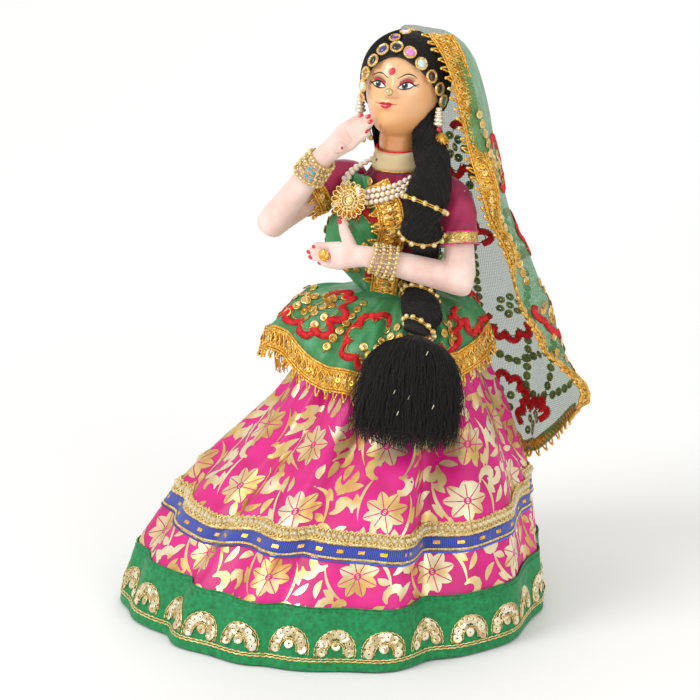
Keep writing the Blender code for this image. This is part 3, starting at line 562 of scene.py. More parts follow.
def makeHemBorder():
    band = ribbon("hem", 0.6, hemBand["top"], hemBand["lift"], 0.35, mats["felt"], 900, 12)
    parts, looks = [band], [mats["felt"]]
    under = offSkirt(*np.broadcast_arrays(np.linspace(-np.pi, np.pi, 900, endpoint=False)[None],
                                          np.array([[0.6], [4.0]]), np.array([[0.7], [-1.2]])))
    under[1, :, 2] = 0.9
    parts.append(grid(under, wrap=True, flip=True))
    looks.append(mats["felt"])
    w = np.linspace(-np.pi, np.pi, 1400, endpoint=False)
    for at, wide in ((hemBand["cordAt"], 0.42), (hemBand["cordAt"] + 1.15, 0.42), (hemBand["top"] - 0.3, 0.3)):
        s = np.full_like(w, at) + 0.16 * np.sin(w * 190 + at)
        parts.append(strands(offSkirt(w, s, np.full_like(w, 1.15)), wide, 5, loop=True))
        looks.append(mats["paleGold"] if at < 10 else mats["felt"])
    # running stitches along the top
    n = 230
    w0 = np.linspace(-np.pi, np.pi, n, endpoint=False)
    dash = np.linspace(0, 1.7, 4) / 104
    parts.append(strands(offSkirt(w0[:, None] + dash, np.full((n, 4), hemBand["top"] - 2.3), np.full((n, 4), 1.05)), 0.16, 4))
    looks.append(mats["felt"])
    rng = np.random.default_rng(11)
    centres = np.linspace(-np.pi, np.pi, hemBand["motifs"], endpoint=False) + 0.03
    centres = centres + rng.uniform(-0.012, 0.012, len(centres))
    arch = np.linspace(-0.1, np.pi + 0.1, 8)
    dots = np.stack([np.cos(arch) * 6.9, np.sin(arch) * 7.6 + 1.4], -1)
    dots = np.concatenate([dots, [[0, 3.0]], [[-2.7, 6.0]], [[2.7, 6.0]]])
    ats, axes, sizes = [], [], []
    for w0 in centres:
        base = 9.2 + rng.uniform(-0.5, 0.5)
        xy = dots * rng.uniform(0.95, 1.05) + rng.uniform(-0.25, 0.25, dots.shape)
        s = base + xy[:, 1]
        ww = w0 + xy[:, 0] / 103.0
        p, ax = framesOn(onSkirt, ww, s, 0.004, 0.4)
        tilt = rng.normal(0, 0.16, (len(xy), 3))
        ax = unit(ax + np.cross(tilt[:, None, :], ax))
        ats.append(p + ax[:, 2] * 1.35)
        axes.append(ax)
        sizes.append(np.full(len(xy), 1.12))
        sizes[-1][-2:] = 0.62
        for r0, lift in ((10.2, 1.3), (9.2, 1.3), (5.0, 1.5), (4.2, 1.5)):
            a = np.linspace(-0.25, np.pi + 0.25, 46)
            wob = 0.22 * np.sin(a * 26)
            path = np.stack([np.cos(a) * (r0 + wob), np.sin(a) * (r0 + wob) * 1.02 + 0.9], -1)
            parts.append(strands(localOnSkirt(w0, base, path, np.full(len(a), lift)), 0.34, 4))
            looks.append(mats["paleGold"])
    parts.append(scatter(ringSequin, np.concatenate(ats), np.concatenate(axes), np.concatenate(sizes)))
    looks.append(mats["sequinPale"])
    for p, _, _ in parts:
        p[:, 2] += 0.35
    ob = makePiece("hemBorder", parts[:2] + parts[2:], looks, closed=False)
    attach(ob, "stand")
    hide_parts("hem_border")
    return ob


roundBead = turned([(0.0, -1.0), (0.70, -0.71), (1.0, 0.0), (0.70, 0.71), (0.0, 1.0)], 8)
trims = dict(piping=53.0, blueLow=54.2, blueHigh=59.6, ropeLow=53.6, ropeHigh=60.4, beadRow=63.6, top=66.6)


def makeTrims():
    w = np.linspace(-np.pi, np.pi, 1500, endpoint=False)
    lift = trimWave(w)

    def cordAt(at, wide, sway=0.0, count=0, high=1.1, sides=5):
        s = at + lift + sway * np.sin(w * count)
        return strands(offSkirt(w, s, np.full_like(w, high)), wide, sides, loop=True)

    blueParts = [ribbon("blue", trims["blueLow"], trims["blueHigh"], 0.7, 0.5, mats["blue"], 1000, 6, trimWave),
                 cordAt(trims["piping"] - 0.7, 0.55, high=0.9)]
    # small gold squares woven in along the middle
    n = 52
    w0 = np.linspace(-np.pi, np.pi, n, endpoint=False)
    corner = np.array([[-1.7, -0.8], [1.7, -0.8], [1.7, 0.8], [-1.7, 0.8]])
    wq = w0[:, None] + corner[:, 0] / 93
    sq = (trims["blueLow"] + trims["blueHigh"]) / 2 + trimWave(w0)[:, None] + corner[:, 1]
    tile = offSkirt(wq, sq, np.full(wq.shape, 1.35))
    tiles = (tile.reshape(-1, 3), np.arange(n * 4).reshape(-1, 4), None)
    blue = makePiece("trimBraid", blueParts + [tiles], [mats["blue"], mats["blue"], mats["gold"]], closed=False)
    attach(blue, "stand")
    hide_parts("trim_braid")
    # gold rope either side, looped cord round each clear bead above
    parts = [cordAt(trims["ropeLow"], 0.34, 0.35, 210), cordAt(trims["ropeLow"], 0.34, -0.35, 210),
             cordAt(trims["ropeHigh"], 0.5, 0.4, 190), cordAt(trims["ropeHigh"] + 0.2, 0.5, -0.4, 190),
             cordAt(trims["beadRow"], 0.5, 2.5, 92, 1.0), cordAt(trims["beadRow"], 0.5, -2.5, 92, 1.0),
             cordAt(trims["top"] - 0.5, 0.45, 0.5, 184), cordAt(trims["beadRow"] - 3.0, 0.4, 0.3, 184)]
    looks = [mats["paleGold"]] * len(parts)
    n = 184
    wb = -np.pi + 2 * np.pi * (np.arange(n) + 0.5) / n
    p, axes = framesOn(onSkirt, wb, trims["beadRow"] + trimWave(wb), 0.004, 0.4)
    parts.append(scatter(roundBead, p + axes[:, 2] * 1.7, axes, 1.25))
    looks.append(mats["clear"])
    ring = turned([(1.25, 0), (1.75, 0.5), (1.25, 0.9)], 8)
    parts.append(scatter(ring, p + axes[:, 2] * 0.9, axes, 1.0))
    looks.append(mats["paleGold"])
    base = ribbon("bead", trims["blueHigh"] + 0.2, trims["top"], 0.3, 0.3, mats["paleGold"], 900, 4, trimWave)
    parts.append(base)
    looks.append(mats["paleGold"])
    beads = makePiece("trimBeads", parts, looks, closed=False)
    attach(beads, "stand")
    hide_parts("trim_beads")
    return blue, beads


print("skirt")
skirtCloth, skirtSeam = makeSkirt()
skirtFoil = makeFoil()
hemBorder = makeHemBorder()
trimBlue, trimBeads = makeTrims()


# ---------- head and neck: one surface by angle a and height z, the face turned 20 degrees to her left
head = dict(centre=(17.0, 35.0, 263.5), radii=(18.3, 20.6, 24.0), faceTurn=math.radians(-73.0), slant=0.16, lipsAt=-1.9, cheek=19.5,
            neckAt=(16.0, 32.0), neck=9.9, rows=230, columns=260)


def faceRelief(s, h):
    # bumps on the plain egg, s mm round from the middle of the face and h mm above the centre
    def bump(x, y, wide, high, tall):
        return tall * np.exp(-((s - x) / wide) ** 2 - ((h - y) / high) ** 2)
    ridge = table(h, [(-1.2, 0), (0.2, 0.75), (1.8, 1.0), (4.0, 0.72), (7.5, 0.28), (11, 0.0)])
    d = 2.9 * ridge * np.exp(-(s / table(h, [(0, 2.5), (2, 2.2), (8, 1.5)])) ** 2)
    d = d + sum(bump(k * 2.1, 0.9, 1.2, 1.3, 0.9) for k in (-1, 1))
    d = d + sum(bump(k * 7.2, 5.2, 4.6, 2.9, -1.0) + bump(k * 8.6, -2.5, 5.5, 5.5, 0.8) for k in (-1, 1))
    d = d + sum(bump(k * 6.5, 10.0, 5.5, 2.0, 0.4) + bump(k * 7.2, 5.4, 3.4, 2.0, 0.55) for k in (-1, 1))
    m = head["lipsAt"]
    d = d + bump(m, -3.0, 3.6, 1.1, 0.9) + bump(m, -5.7, 3.0, 1.3, 1.0) + bump(m, -4.3, 4.2, 0.35, -0.35)
    return d + bump(m, -9.0, 3.8, 1.5, -0.5) + bump(m, -14.0, 5.6, 4.4, 1.7) + bump(m, -1.4, 0.8, 1.0, -0.25)


def onHead(a, z):
    # the wider of the egg and the neck at each height, the two melted together where they meet
    a, z = np.broadcast_arrays(a, z)
    k = np.clip((z - head["centre"][2]) / head["radii"][2], -1, 1)
    low = np.clip(-k, 0, 1)
    q = np.sqrt(np.maximum(1 - np.abs(k) ** (2.05 + 0.55 * low), 0))
    face = np.maximum(np.cos(a - head["faceTurn"]), 0)
    rx = head["radii"][0] * (1 - 0.07 * low ** 1.5)
    egg = q / np.sqrt((np.cos(a) / rx) ** 2 + (np.sin(a) / head["radii"][1]) ** 2)
    s = np.angle(np.exp(1j * (a - head["faceTurn"]))) * head["cheek"] - head["slant"] * (z - head["centre"][2] - 5)
    egg = egg + (faceRelief(s, z - head["centre"][2]) + 1.7 * low ** 2) * smooth01(face, 0.1, 0.6) * smooth01(q, 0.05, 0.5)
    neck = head["neck"] + 1.1 * smooth01(-z, -228, -221) + 0 * a
    soft = 1.3
    r = np.where(k > 0.2, egg, np.maximum(egg, neck) + soft * np.log1p(np.exp(-np.abs(egg - neck) / soft)) * 0.9)
    t = smooth01(z, 236, 254)
    cx = head["neckAt"][0] + (head["centre"][0] - head["neckAt"][0]) * t
    cy = head["neckAt"][1] + (head["centre"][1] - head["neckAt"][1]) * t
    return np.stack([cx + r * np.cos(a), cy + r * np.sin(a), z], -1)


def onFace(x, y, lift):
    # a point x mm to her left of the middle of the face, y mm above the centre of the head
    a = head["faceTurn"] + (np.asarray(x) + head["slant"] * (np.asarray(y) - 5)) / head["cheek"]
    p, axes = framesOn(onHead, a, head["centre"][2] + np.asarray(y), 0.01, 0.15)
    return p + axes[..., 2, :] * lift


def makeHead():
    a = np.linspace(-np.pi, np.pi, head["columns"], endpoint=False)[None, :]
    k = np.linspace(0.0, 1.0, head["rows"])[:, None]
    top, low = head["centre"][2] + head["radii"][2], head["centre"][2] - head["radii"][2]
    z = np.where(k < 0.8, (top + low) / 2 + (top - low) / 2 * np.cos(np.pi * k / 0.8), low - (low - 221.5) * (k - 0.8) / 0.2)
    p = onHead(*np.broadcast_arrays(a, z))
    skin, tree, shader = newMaterial("resinMouldedSkin", "#F0BD88", 0.24, Coat_Weight=0.45, Coat_Roughness=0.12,
                                     Subsurface_Weight=0.12, Subsurface_Radius=(0.004, 0.0018, 0.001))
    # painted shade by height: darker under the jaw and on the upper neck, the colour lightening up the face to the
    # crown
    coord = addNode(tree, "ShaderNodeTexCoord")
    part = addNode(tree, "ShaderNodeSeparateXYZ", {"Vector": (coord, "Object")})
    level = addNode(tree, "ShaderNodeMapRange", {"Value": (part, "Z"), "From Min": 0.222, "From Max": 0.288})
    # the ramp's darkest stop sits under the jaw: painted shade
    tint = ramp(tree, (level, 0), [(0.0, "#EDB37E"), (0.24, "#D9935A"), (0.36, "#EBA86C"), (0.55, "#F2BB88"), (1.0, "#F3C294")])
    mottle = addNode(tree, "ShaderNodeTexNoise", {"Vector": (coord, "Object"), "Scale": 90.0})
    mix = addNode(tree, "ShaderNodeMix", {"Factor": (mottle, 0), 6: (tint, 0), 7: toLinear("#EFAE74")}, data_type="RGBA")
    weak = addNode(tree, "ShaderNodeMath", {0: (mottle, 0), 1: 0.35}, operation="MULTIPLY")
    tree.links.new(weak.outputs[0], mix.inputs["Factor"])
    tree.links.new(mix.outputs[2], shader.inputs["Base Color"])
    ob = makePiece("headSkin", grid(p, wrap=True, caps=True), skin)
    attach(ob, "head")
    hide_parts("head")
    return ob


face = dict(eye=5.4, bindi=12.2)                # heights above the middle of the head


def paintFace():
    black = newMaterial("paintEnamelBlack", "#15110F", 0.35)[0]
    white = newMaterial("paintEnamelWhite", "#F3EDE6", 0.3, Coat_Weight=0.5)[0]
    red = newMaterial("paintEnamelRed", "#CC1730", 0.32, Coat_Weight=0.4)[0]
    iris = newMaterial("paintEnamelGrey", "#4B4A52", 0.28, Coat_Weight=0.6)[0]
    rose = newMaterial("paintEnamelRose", "#E22A48", 0.4)[0]
    parts, looks = [], []

    def shape(centre, width, paint, lift):
        xy = leafStrips(np.array(centre, float), np.asarray(width, float))
        p = onFace(xy[..., 0], xy[..., 1], lift)
        parts.append((p.reshape(-1, 3), quads(len(centre), 3), None))
        looks.append(paint)

    def disc(x, y, r, paint, lift, squash=1.0):
        t = np.linspace(0, np.pi, 13)
        shape(np.stack([x + r * np.cos(t), np.full(13, float(y))], -1), r * squash * np.sin(t) + 0.01, paint, lift)

    t = np.linspace(0, 1, 19)
    for side in (-1, 1):
        x0 = side * 7.0 - 0.9
        inner, outer = x0 - side * 3.9, x0 + side * 4.3
        x = inner + (outer - inner) * t
        mid = face["eye"] + 0.7 * t - 0.9 + 0.5 * np.sin(np.pi * t)
        half = 1.6 * np.sin(np.pi * t) ** 0.8
        upper = mid + half
        shape(np.stack([x, mid], -1), half + 0.02, white, 0.10)
        disc(x0 - 0.5, face["eye"], 1.62, iris, 0.16, 1.0)
        disc(x0 - 0.5, face["eye"], 1.05, black, 0.20)
        # a small white dot above each pupil, set toward her right: a painted highlight
        disc(x0 - 1.0, face["eye"] + 0.65, 0.34, white, 0.24)
        # red lid above, black line along both lids, drawn out to a tail
        shape(np.stack([x[1:-1], upper[1:-1] + 0.95], -1), 0.62 * np.sin(np.pi * t[1:-1]) ** 0.5, rose, 0.16)
        far = np.concatenate([x, outer + side * np.array([0.9, 1.9, 2.9])])
        line = np.concatenate([upper + 0.12, upper[-1] + np.array([0.0, 0.1, 0.35])])
        shape(np.stack([far, line], -1), 0.46 * np.sin(np.pi * np.linspace(0.06, 0.97, 22)) ** 0.5, black, 0.2)
        under = np.concatenate([mid - half - 0.05, mid[-1] + np.array([-0.5, -0.75, -0.9])])
        shape(np.stack([far, under], -1), 0.34 * np.sin(np.pi * np.linspace(0.1, 0.95, 22)), black, 0.2)
        for k in range(11):
            q = 0.08 + 0.86 * k / 10
            base = np.array([inner + (outer - inner) * q, np.interp(q, t, upper) + 1.25])
            way = np.array([side * (0.2 + 1.1 * (q - 0.2)), 2.0])
            run = np.linspace(0, 1, 6)[:, None]
            bend = base + way * run + np.array([side * 0.35, 0.0]) * run ** 2
            shape(bend, 0.17 * (1.05 - run[:, 0]), black, 0.3)
        b = np.linspace(0, 1, 15)
        brow = np.stack([side * (2.4 + 10.6 * b) - 1.0, face["eye"] + 2.5 + 3.3 * np.sin(np.pi * (0.10 + 0.8 * b)) - 0.5 * b], -1)
        shape(brow, 0.28 * np.sin(np.pi * np.clip(b, 0.05, 0.98)) ** 0.6, black, 0.2)
    disc(-2.6, face["bindi"], 1.95, red, 0.2, 0.86)
    # lips: two rises above, one full curve below, a thin line at each corner
    m = np.linspace(-1, 1, 17)
    mid = head["lipsAt"]
    rise = 1.35 * (1 - m ** 2) ** 0.6 * (1 - 0.4 * np.exp(-(m / 0.16) ** 2))
    shape(np.stack([mid + m * 3.5, -4.2 + rise * 0.5], -1), rise * 0.55 + 0.02, red, 0.14)
    full = 1.7 * (1 - m ** 2) ** 0.8
    shape(np.stack([mid + m * 2.7, -4.4 - full * 0.5], -1), full * 0.5 + 0.02, red, 0.14)
    shape(np.stack([mid + m * 5.6, -4.2 + 0.5 * m ** 2], -1), 0.2 * (1 - m ** 2) ** 0.4 + 0.01, rose, 0.18)
    ob = makePiece("facePaint", parts, looks, closed=False)
    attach(ob, "head")
    return ob


# ---------- hair: a close cap of black wool felt, combed away from the parting
hair = dict(thick=3.3, rise=0.8, back=1.5, strands=1500, seed=3)
hairLine = [(-180, -20), (-110, -19), (-88, -13), (-72, -3), (-56, 7.0), (-38, 13.4), (-18, 17.4), (0, 18.4),
            (18, 17.0), (40, 12.2), (58, 5.5), (76, -5), (92, -13), (115, -19), (180, -20)]


def onHair(a, t, lift=0.0):
    # t runs 0 at the crown to 1 at the hairline, which is set by angle from the middle of the face
    turnDeg = np.degrees(np.angle(np.exp(1j * (a - head["faceTurn"]))))
    radii = np.array(head["radii"]) + hair["thick"]
    limit = np.arccos(np.clip(table(turnDeg, hairLine) / radii[2], -1, 1))
    q = limit * t
    rim = 1 - np.clip((t - 0.93) / 0.07, 0, 1) ** 2 * 0.14
    part = 1.1 * np.exp(-(turnDeg / 5.0) ** 2) * smooth01(t, 0.1, 0.3)
    sag = 1.0 * np.exp(-((np.abs(turnDeg) - 62) / 26) ** 2) * np.sin(np.pi * np.clip(t, 0, 1)) ** 2
    r = 1 + (lift - part + sag) / 21.0
    x = head["centre"][0] + (radii[0] * r) * rim * np.sin(q) * np.cos(a)
    y = head["centre"][1] + hair["back"] + (radii[1] * r) * rim * np.sin(q) * np.sin(a)
    z = head["centre"][2] + hair["rise"] + (radii[2] * r) * np.cos(q) + 0 * a
    return np.stack([x, y, z], -1)


def makeHair():
    wool, tree, shader = newMaterial("woolFeltBlack", "#141211", 0.85, Sheen_Weight=0.35, Sheen_Roughness=0.5)
    coord = addNode(tree, "ShaderNodeTexCoord")
    nap = addNode(tree, "ShaderNodeTexNoise", {"Vector": (coord, "Object"), "Scale": 1400.0, "Detail": 3.0})
    tint = ramp(tree, (nap, 0), [(0.35, "#0B0A0A"), (0.6, "#191615"), (0.8, "#2A2522")])
    tree.links.new(tint.outputs[0], shader.inputs["Base Color"])
    addBump(tree, shader, (nap, 0), 0.6, 0.5)
    shader.inputs["Sheen Tint"].default_value = toLinear("#8A817C")
    mats["wool"] = wool
    a = np.linspace(-np.pi, np.pi, 180, endpoint=False)[None, :]
    t = np.linspace(0.012, 1, 70)[:, None]
    p = onHair(*np.broadcast_arrays(a, t))
    inner = p[-1] * 0.0 + head["centre"]
    tuck = p[-1] + (inner - p[-1]) * 0.2
    p = np.concatenate([p, tuck[None]])
    rng = np.random.default_rng(hair["seed"])
    n = hair["strands"]
    w0 = rng.uniform(-np.pi, np.pi, n)[:, None]
    t0 = rng.uniform(0.03, 0.75, n)[:, None]
    k = np.linspace(0, 1, 7)[None, :]
    side = np.sign(np.sin(w0 - head["faceTurn"]))
    ways = onHair(w0 + side * 0.32 * k + rng.normal(0, 0.02, (n, 1)), np.minimum(t0 + 0.26 * k, 0.985),
                  0.12 + 0.25 * np.sin(np.pi * k))
    fibres = strands(ways, np.full((n, 7), 0.10) * (1 - 0.6 * k), 3)
    # the hair behind the neck, falling to the shoulders
    w = np.linspace(-0.35, np.pi + 0.35, 60)[None, :]
    z = np.linspace(221.5, 250.0, 30)[:, None]
    fall = 13.2 + 2.8 * smooth01(z, 222, 248) + 0.5 * np.sin(9 * w + 0.1 * z)
    nape = np.stack(np.broadcast_arrays(16.5 + fall * np.cos(w), 33.5 + fall * np.sin(w) * 1.05, z), -1)
    inside = np.stack(np.broadcast_arrays(16.5 + 10.5 * np.cos(w), 33.0 + 10.5 * np.sin(w), z), -1)
    nape = np.concatenate([nape, inside[::-1]])
    ob = makePiece("hairCap", [grid(p, wrap=True), fibres, grid(nape, wrapRows=True)], [wool] * 3, closed=False)
    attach(ob, "head")
    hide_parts("hair_cap")
    return ob


discRim = turned([(0.0, -0.5), (2.9, -0.5), (3.45, 0.1), (3.4, 0.75), (3.05, 1.15), (2.6, 1.0), (2.25, 0.55), (0, 0.4)], 20)
discStone = turned([(2.35, 0.45), (2.2, 1.0), (1.5, 1.45), (0.7, 1.6), (0.0, 1.65)], 14)


def facing(normal, upHint=(0, 0, 1.0)):
    # rows x, y, z for copies whose own z looks along each normal
    n = unit(np.asarray(normal, float))
    x = unit(np.cross(np.broadcast_to(upHint, n.shape), n))
    return np.stack([x, np.cross(n, x), n], -2)


def makeBrowJewels():
    colours = dict(violet="#3B2C86", sky="#CFE6E8", ruby="#4A0F10", dark="#1B0F10", pink="#E58BD8", teal="#2F7F78",
                   amber="#A87424", plum="#6E2F86", rose="#B5293A")
    stones = {k: stone("glassCut" + k.capitalize(), c) for k, c in colours.items()}
    centre = np.array(head["centre"])
    rows = dict(
        right=[(-3.0, -13.8, 20.9, "violet"), (-6.3, -17.2, 15.8, "dark"), (-9.4, -18.8, 9.5, "amber"),
               (-10.8, -19.0, 3.2, "sky"), (-11.6, -18.6, -2.8, "rose")],
        left=[(3.2, -11.6, 22.6, "dark"), (9.5, -10.0, 20.4, "pink"), (14.9, -8.6, 15.4, "sky"), (18.8, -5.6, 9.0, "ruby"),
              (20.6, -1.4, 2.2, "dark"), (20.4, 2.2, -4.6, "teal")],
        parting=[(-0.8, -7.0, 25.4, "plum"), (1.0, -0.6, 26.9, "sky"), (0.8, 6.2, 26.4, "amber")])
    made = []
    for name, items in rows.items():
        at = np.array([i[:3] for i in items])
        normal = unit(at / np.array([20.0, 22.5, 26.0]) ** 2)
        at = centre + at + normal * 0.7
        axes = facing(normal)
        size = np.full(len(at), 1.0 if name != "parting" else 0.85)
        size[[i for i, it in enumerate(items) if name == "right" and i > 3]] = 0.72
        parts = [scatter(discRim, at, axes, size)]
        looks = [mats["paleGold"]]
        for k, item in enumerate(items):
            parts.append(scatter(discStone, at[k:k + 1], axes[k:k + 1], size[k]))
            looks.append(stones[item[3]])
            q = np.linspace(0, 2 * np.pi, 18, endpoint=False)
            dots = at[k] + size[k] * 3.1 * (np.cos(q)[:, None] * axes[k, 0] + np.sin(q)[:, None] * axes[k, 1]) + axes[k, 2] * size[k] * 0.95
            parts.append(scatter(roundBead, dots, axes[k], 0.38))
            looks.append(mats["gold"])
        ob = makePiece("browJewels_" + name, parts, looks, closed=False)
        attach(ob, "head")
        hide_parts({"right": "brow_chain_right", "left": "brow_chain_left", "parting": "parting_chain"}[name])
        made.append(ob)
    pearl = newMaterial("pearlLacqueredGold", "#D9C08A", 0.18, Metallic=0.55, Coat_Weight=1.0)[0]
    q = np.linspace(-1, 1, 15)
    ball = turned(np.stack([np.cos(q * np.pi / 2), np.sin(q * np.pi / 2)], -1), 20)
    nose = makePiece("noseBead", scatter(ball, [onFace(-0.3, 2.6, 1.2)], np.eye(3)[None], 2.1), pearl)
    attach(nose, "head")
    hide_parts("nose_bead")
    return made


def makeEarring(name, node, x, seed):
    rng = np.random.default_rng(seed)
    top = np.array([x, 31.0, 256.5])
    silver = mats["silverGold"]
    profile = [(0.3, 0.6), (1.4, 0.2), (1.6, -0.6), (0.7, -1.2)]
    for k in range(4):
        z = -1.6 - 1.9 * k
        r = 1.9 + 0.28 * k
        profile += [(r * 0.72, z + 0.5), (r, z), (r, -0.7 + z), (r * 0.72, z - 1.1)]
    profile += [(1.1, -9.4), (0.0, -9.6)]
    body = turned(profile, 20)
    parts = [(body[0] + top, body[1], None), scatter(roundBead, [top + (0, 0, -11.0)], np.eye(3)[None], 1.7)]
    looks = [silver, stone("beadRed", "#B1122A") if name == "left" else bpy.data.materials["beadRed"]]
    bell = turned([(0.6, -12.2), (2.6, -12.8), (4.2, -14.6), (4.9, -16.6), (4.4, -16.7), (2.4, -14.0), (0.6, -13.0)], 20)
    parts.append((bell[0] + top, bell[1], None))
    looks.append(mats["gold"])
    n = 16
    q = np.linspace(0, 2 * np.pi, n, endpoint=False)
    rim = top + np.stack([4.7 * np.cos(q), 4.7 * np.sin(q), np.full(n, -17.0)], -1)
    parts.append(scatter(roundBead, rim, np.eye(3)[None], 0.75))
    looks.append(mats["gold"])
    drop = turned([(0.0, 0.0), (0.5, -0.8), (1.35, -3.0), (1.1, -4.2), (0.0, -4.8)], 6)
    straight = np.tile([0, 0, 1.0], (n // 2, 1)) + rng.normal(0, 0.14, (n // 2, 3))
    parts.append(scatter((drop[0] * (1.25, 0.5, 1.15), drop[1], None), rim[::2] + (0, 0, -0.7),
                         facing(straight, (0, 1.0, 0)), 1.0))
    looks.append(mats["paleGold"])
    ob = makePiece("earring_" + name, parts, looks, closed=False)
    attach(ob, "earring_l" if name == "left" else "earring_r")
    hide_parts(node)
    return ob


print("head")
mats["silverGold"] = threadGold("metalCastSilverGold", "#C9BEA2", "#E8DFC4", "#FFFDF2")
headSkin = makeHead()
facePaint = paintFace()
hairCap = makeHair()
browJewels = makeBrowJewels()
makeEarring("left", "earring_left", 40.1, 21)
makeEarring("right", "earring_right", -6.1, 22)


# ---------- embroidery and lace, laid on any surface(u, v)
def placeOn(surface, u0, v0, xy):
    # local x, y millimetres to the surface's own u, v, from its stretch at (u0, v0)
    eu, ev = 0.002, 0.002
    a = np.linalg.norm(surface(u0 + eu, v0) - surface(u0 - eu, v0)) / (2 * eu)
    b = np.linalg.norm(surface(u0, v0 + ev) - surface(u0, v0 - ev)) / (2 * ev)
    return u0 + xy[..., 0] / max(a, 5.0), v0 + xy[..., 1] / max(b, 5.0)


def offCloth(surface, u, v, lift, side=1.0):
    p, axes = framesOn(surface, u, v, 0.002, 0.002)
    return p + side * axes[..., 2, :] * np.asarray(lift)[..., None], axes


def satinStitch(surface, u, v, wide, pitch, side=1.0, lift=0.35):
    # short threads laid side by side across a path, each arched over the cloth
    p, axes = offCloth(surface, u, v, np.full(len(u), 0.0), side)
    run = np.concatenate([[0], np.cumsum(np.linalg.norm(np.diff(p, axis=0), axis=1))])
    n = max(4, int(run[-1] / pitch))
    at = np.linspace(0, run[-1], n)
    centre = np.stack([np.interp(at, run, p[:, k]) for k in range(3)], -1)
    out = unit(np.stack([np.interp(at, run, axes[:, 2, k]) for k in range(3)], -1)) * side
    across = unit(np.cross(out, np.gradient(centre, axis=0)))
    x = np.linspace(-1, 1, 5)
    jag = 1 + 0.10 * np.sin(at * 5.1) + 0.06 * np.sin(at * 11.7)
    path = centre[:, None] + across[:, None] * (x * wide / 2)[:, None] * jag[:, None, None]
    path = path + out[:, None] * (lift + 0.45 * (1 - x ** 2))[:, None]
    back = centre[:, None] + across[:, None] * (x * wide / 2)[:, None] - out[:, None] * (lift + 0.1 * (1 - x ** 2))[:, None]
    return strands(np.concatenate([path, back]), pitch * 0.62, 4, ref=(0.3, 0.2, 0.9))


def scallopPath(cx, cy, radius, lobes, start, sweep, depth=0.22):
    # an outline of shallow lobes, as part of a ring
    t = np.linspace(0, 1, lobes * 10 + 1)
    a = start + sweep * t
    r = radius * (1 - depth + depth * 1.6 * np.abs(np.sin(np.pi * lobes * t)) ** 0.8)
    return np.stack([cx + r * np.cos(a), cy + r * np.sin(a)], -1)


def sequinsAt(surface, u, v, size, side=1.0, seed=1, tilt=0.12):
    rng = np.random.default_rng(seed)
    p, axes = offCloth(surface, u, v, np.full(np.shape(u), 0.45), side)
    axes = axes * np.array([1, 1, side])[:, None]
    turn = rng.normal(0, tilt, (len(p), 3))
    return scatter(ringSequin, p, unit(axes + np.cross(turn[:, None, :], axes)), size * 1.04)


def chainStitch(surface, u, v, wide=0.35, side=1.0):
    p, _ = offCloth(surface, u, v, np.full(len(u), 0.35), side)
    return strands(p, wide, 4)


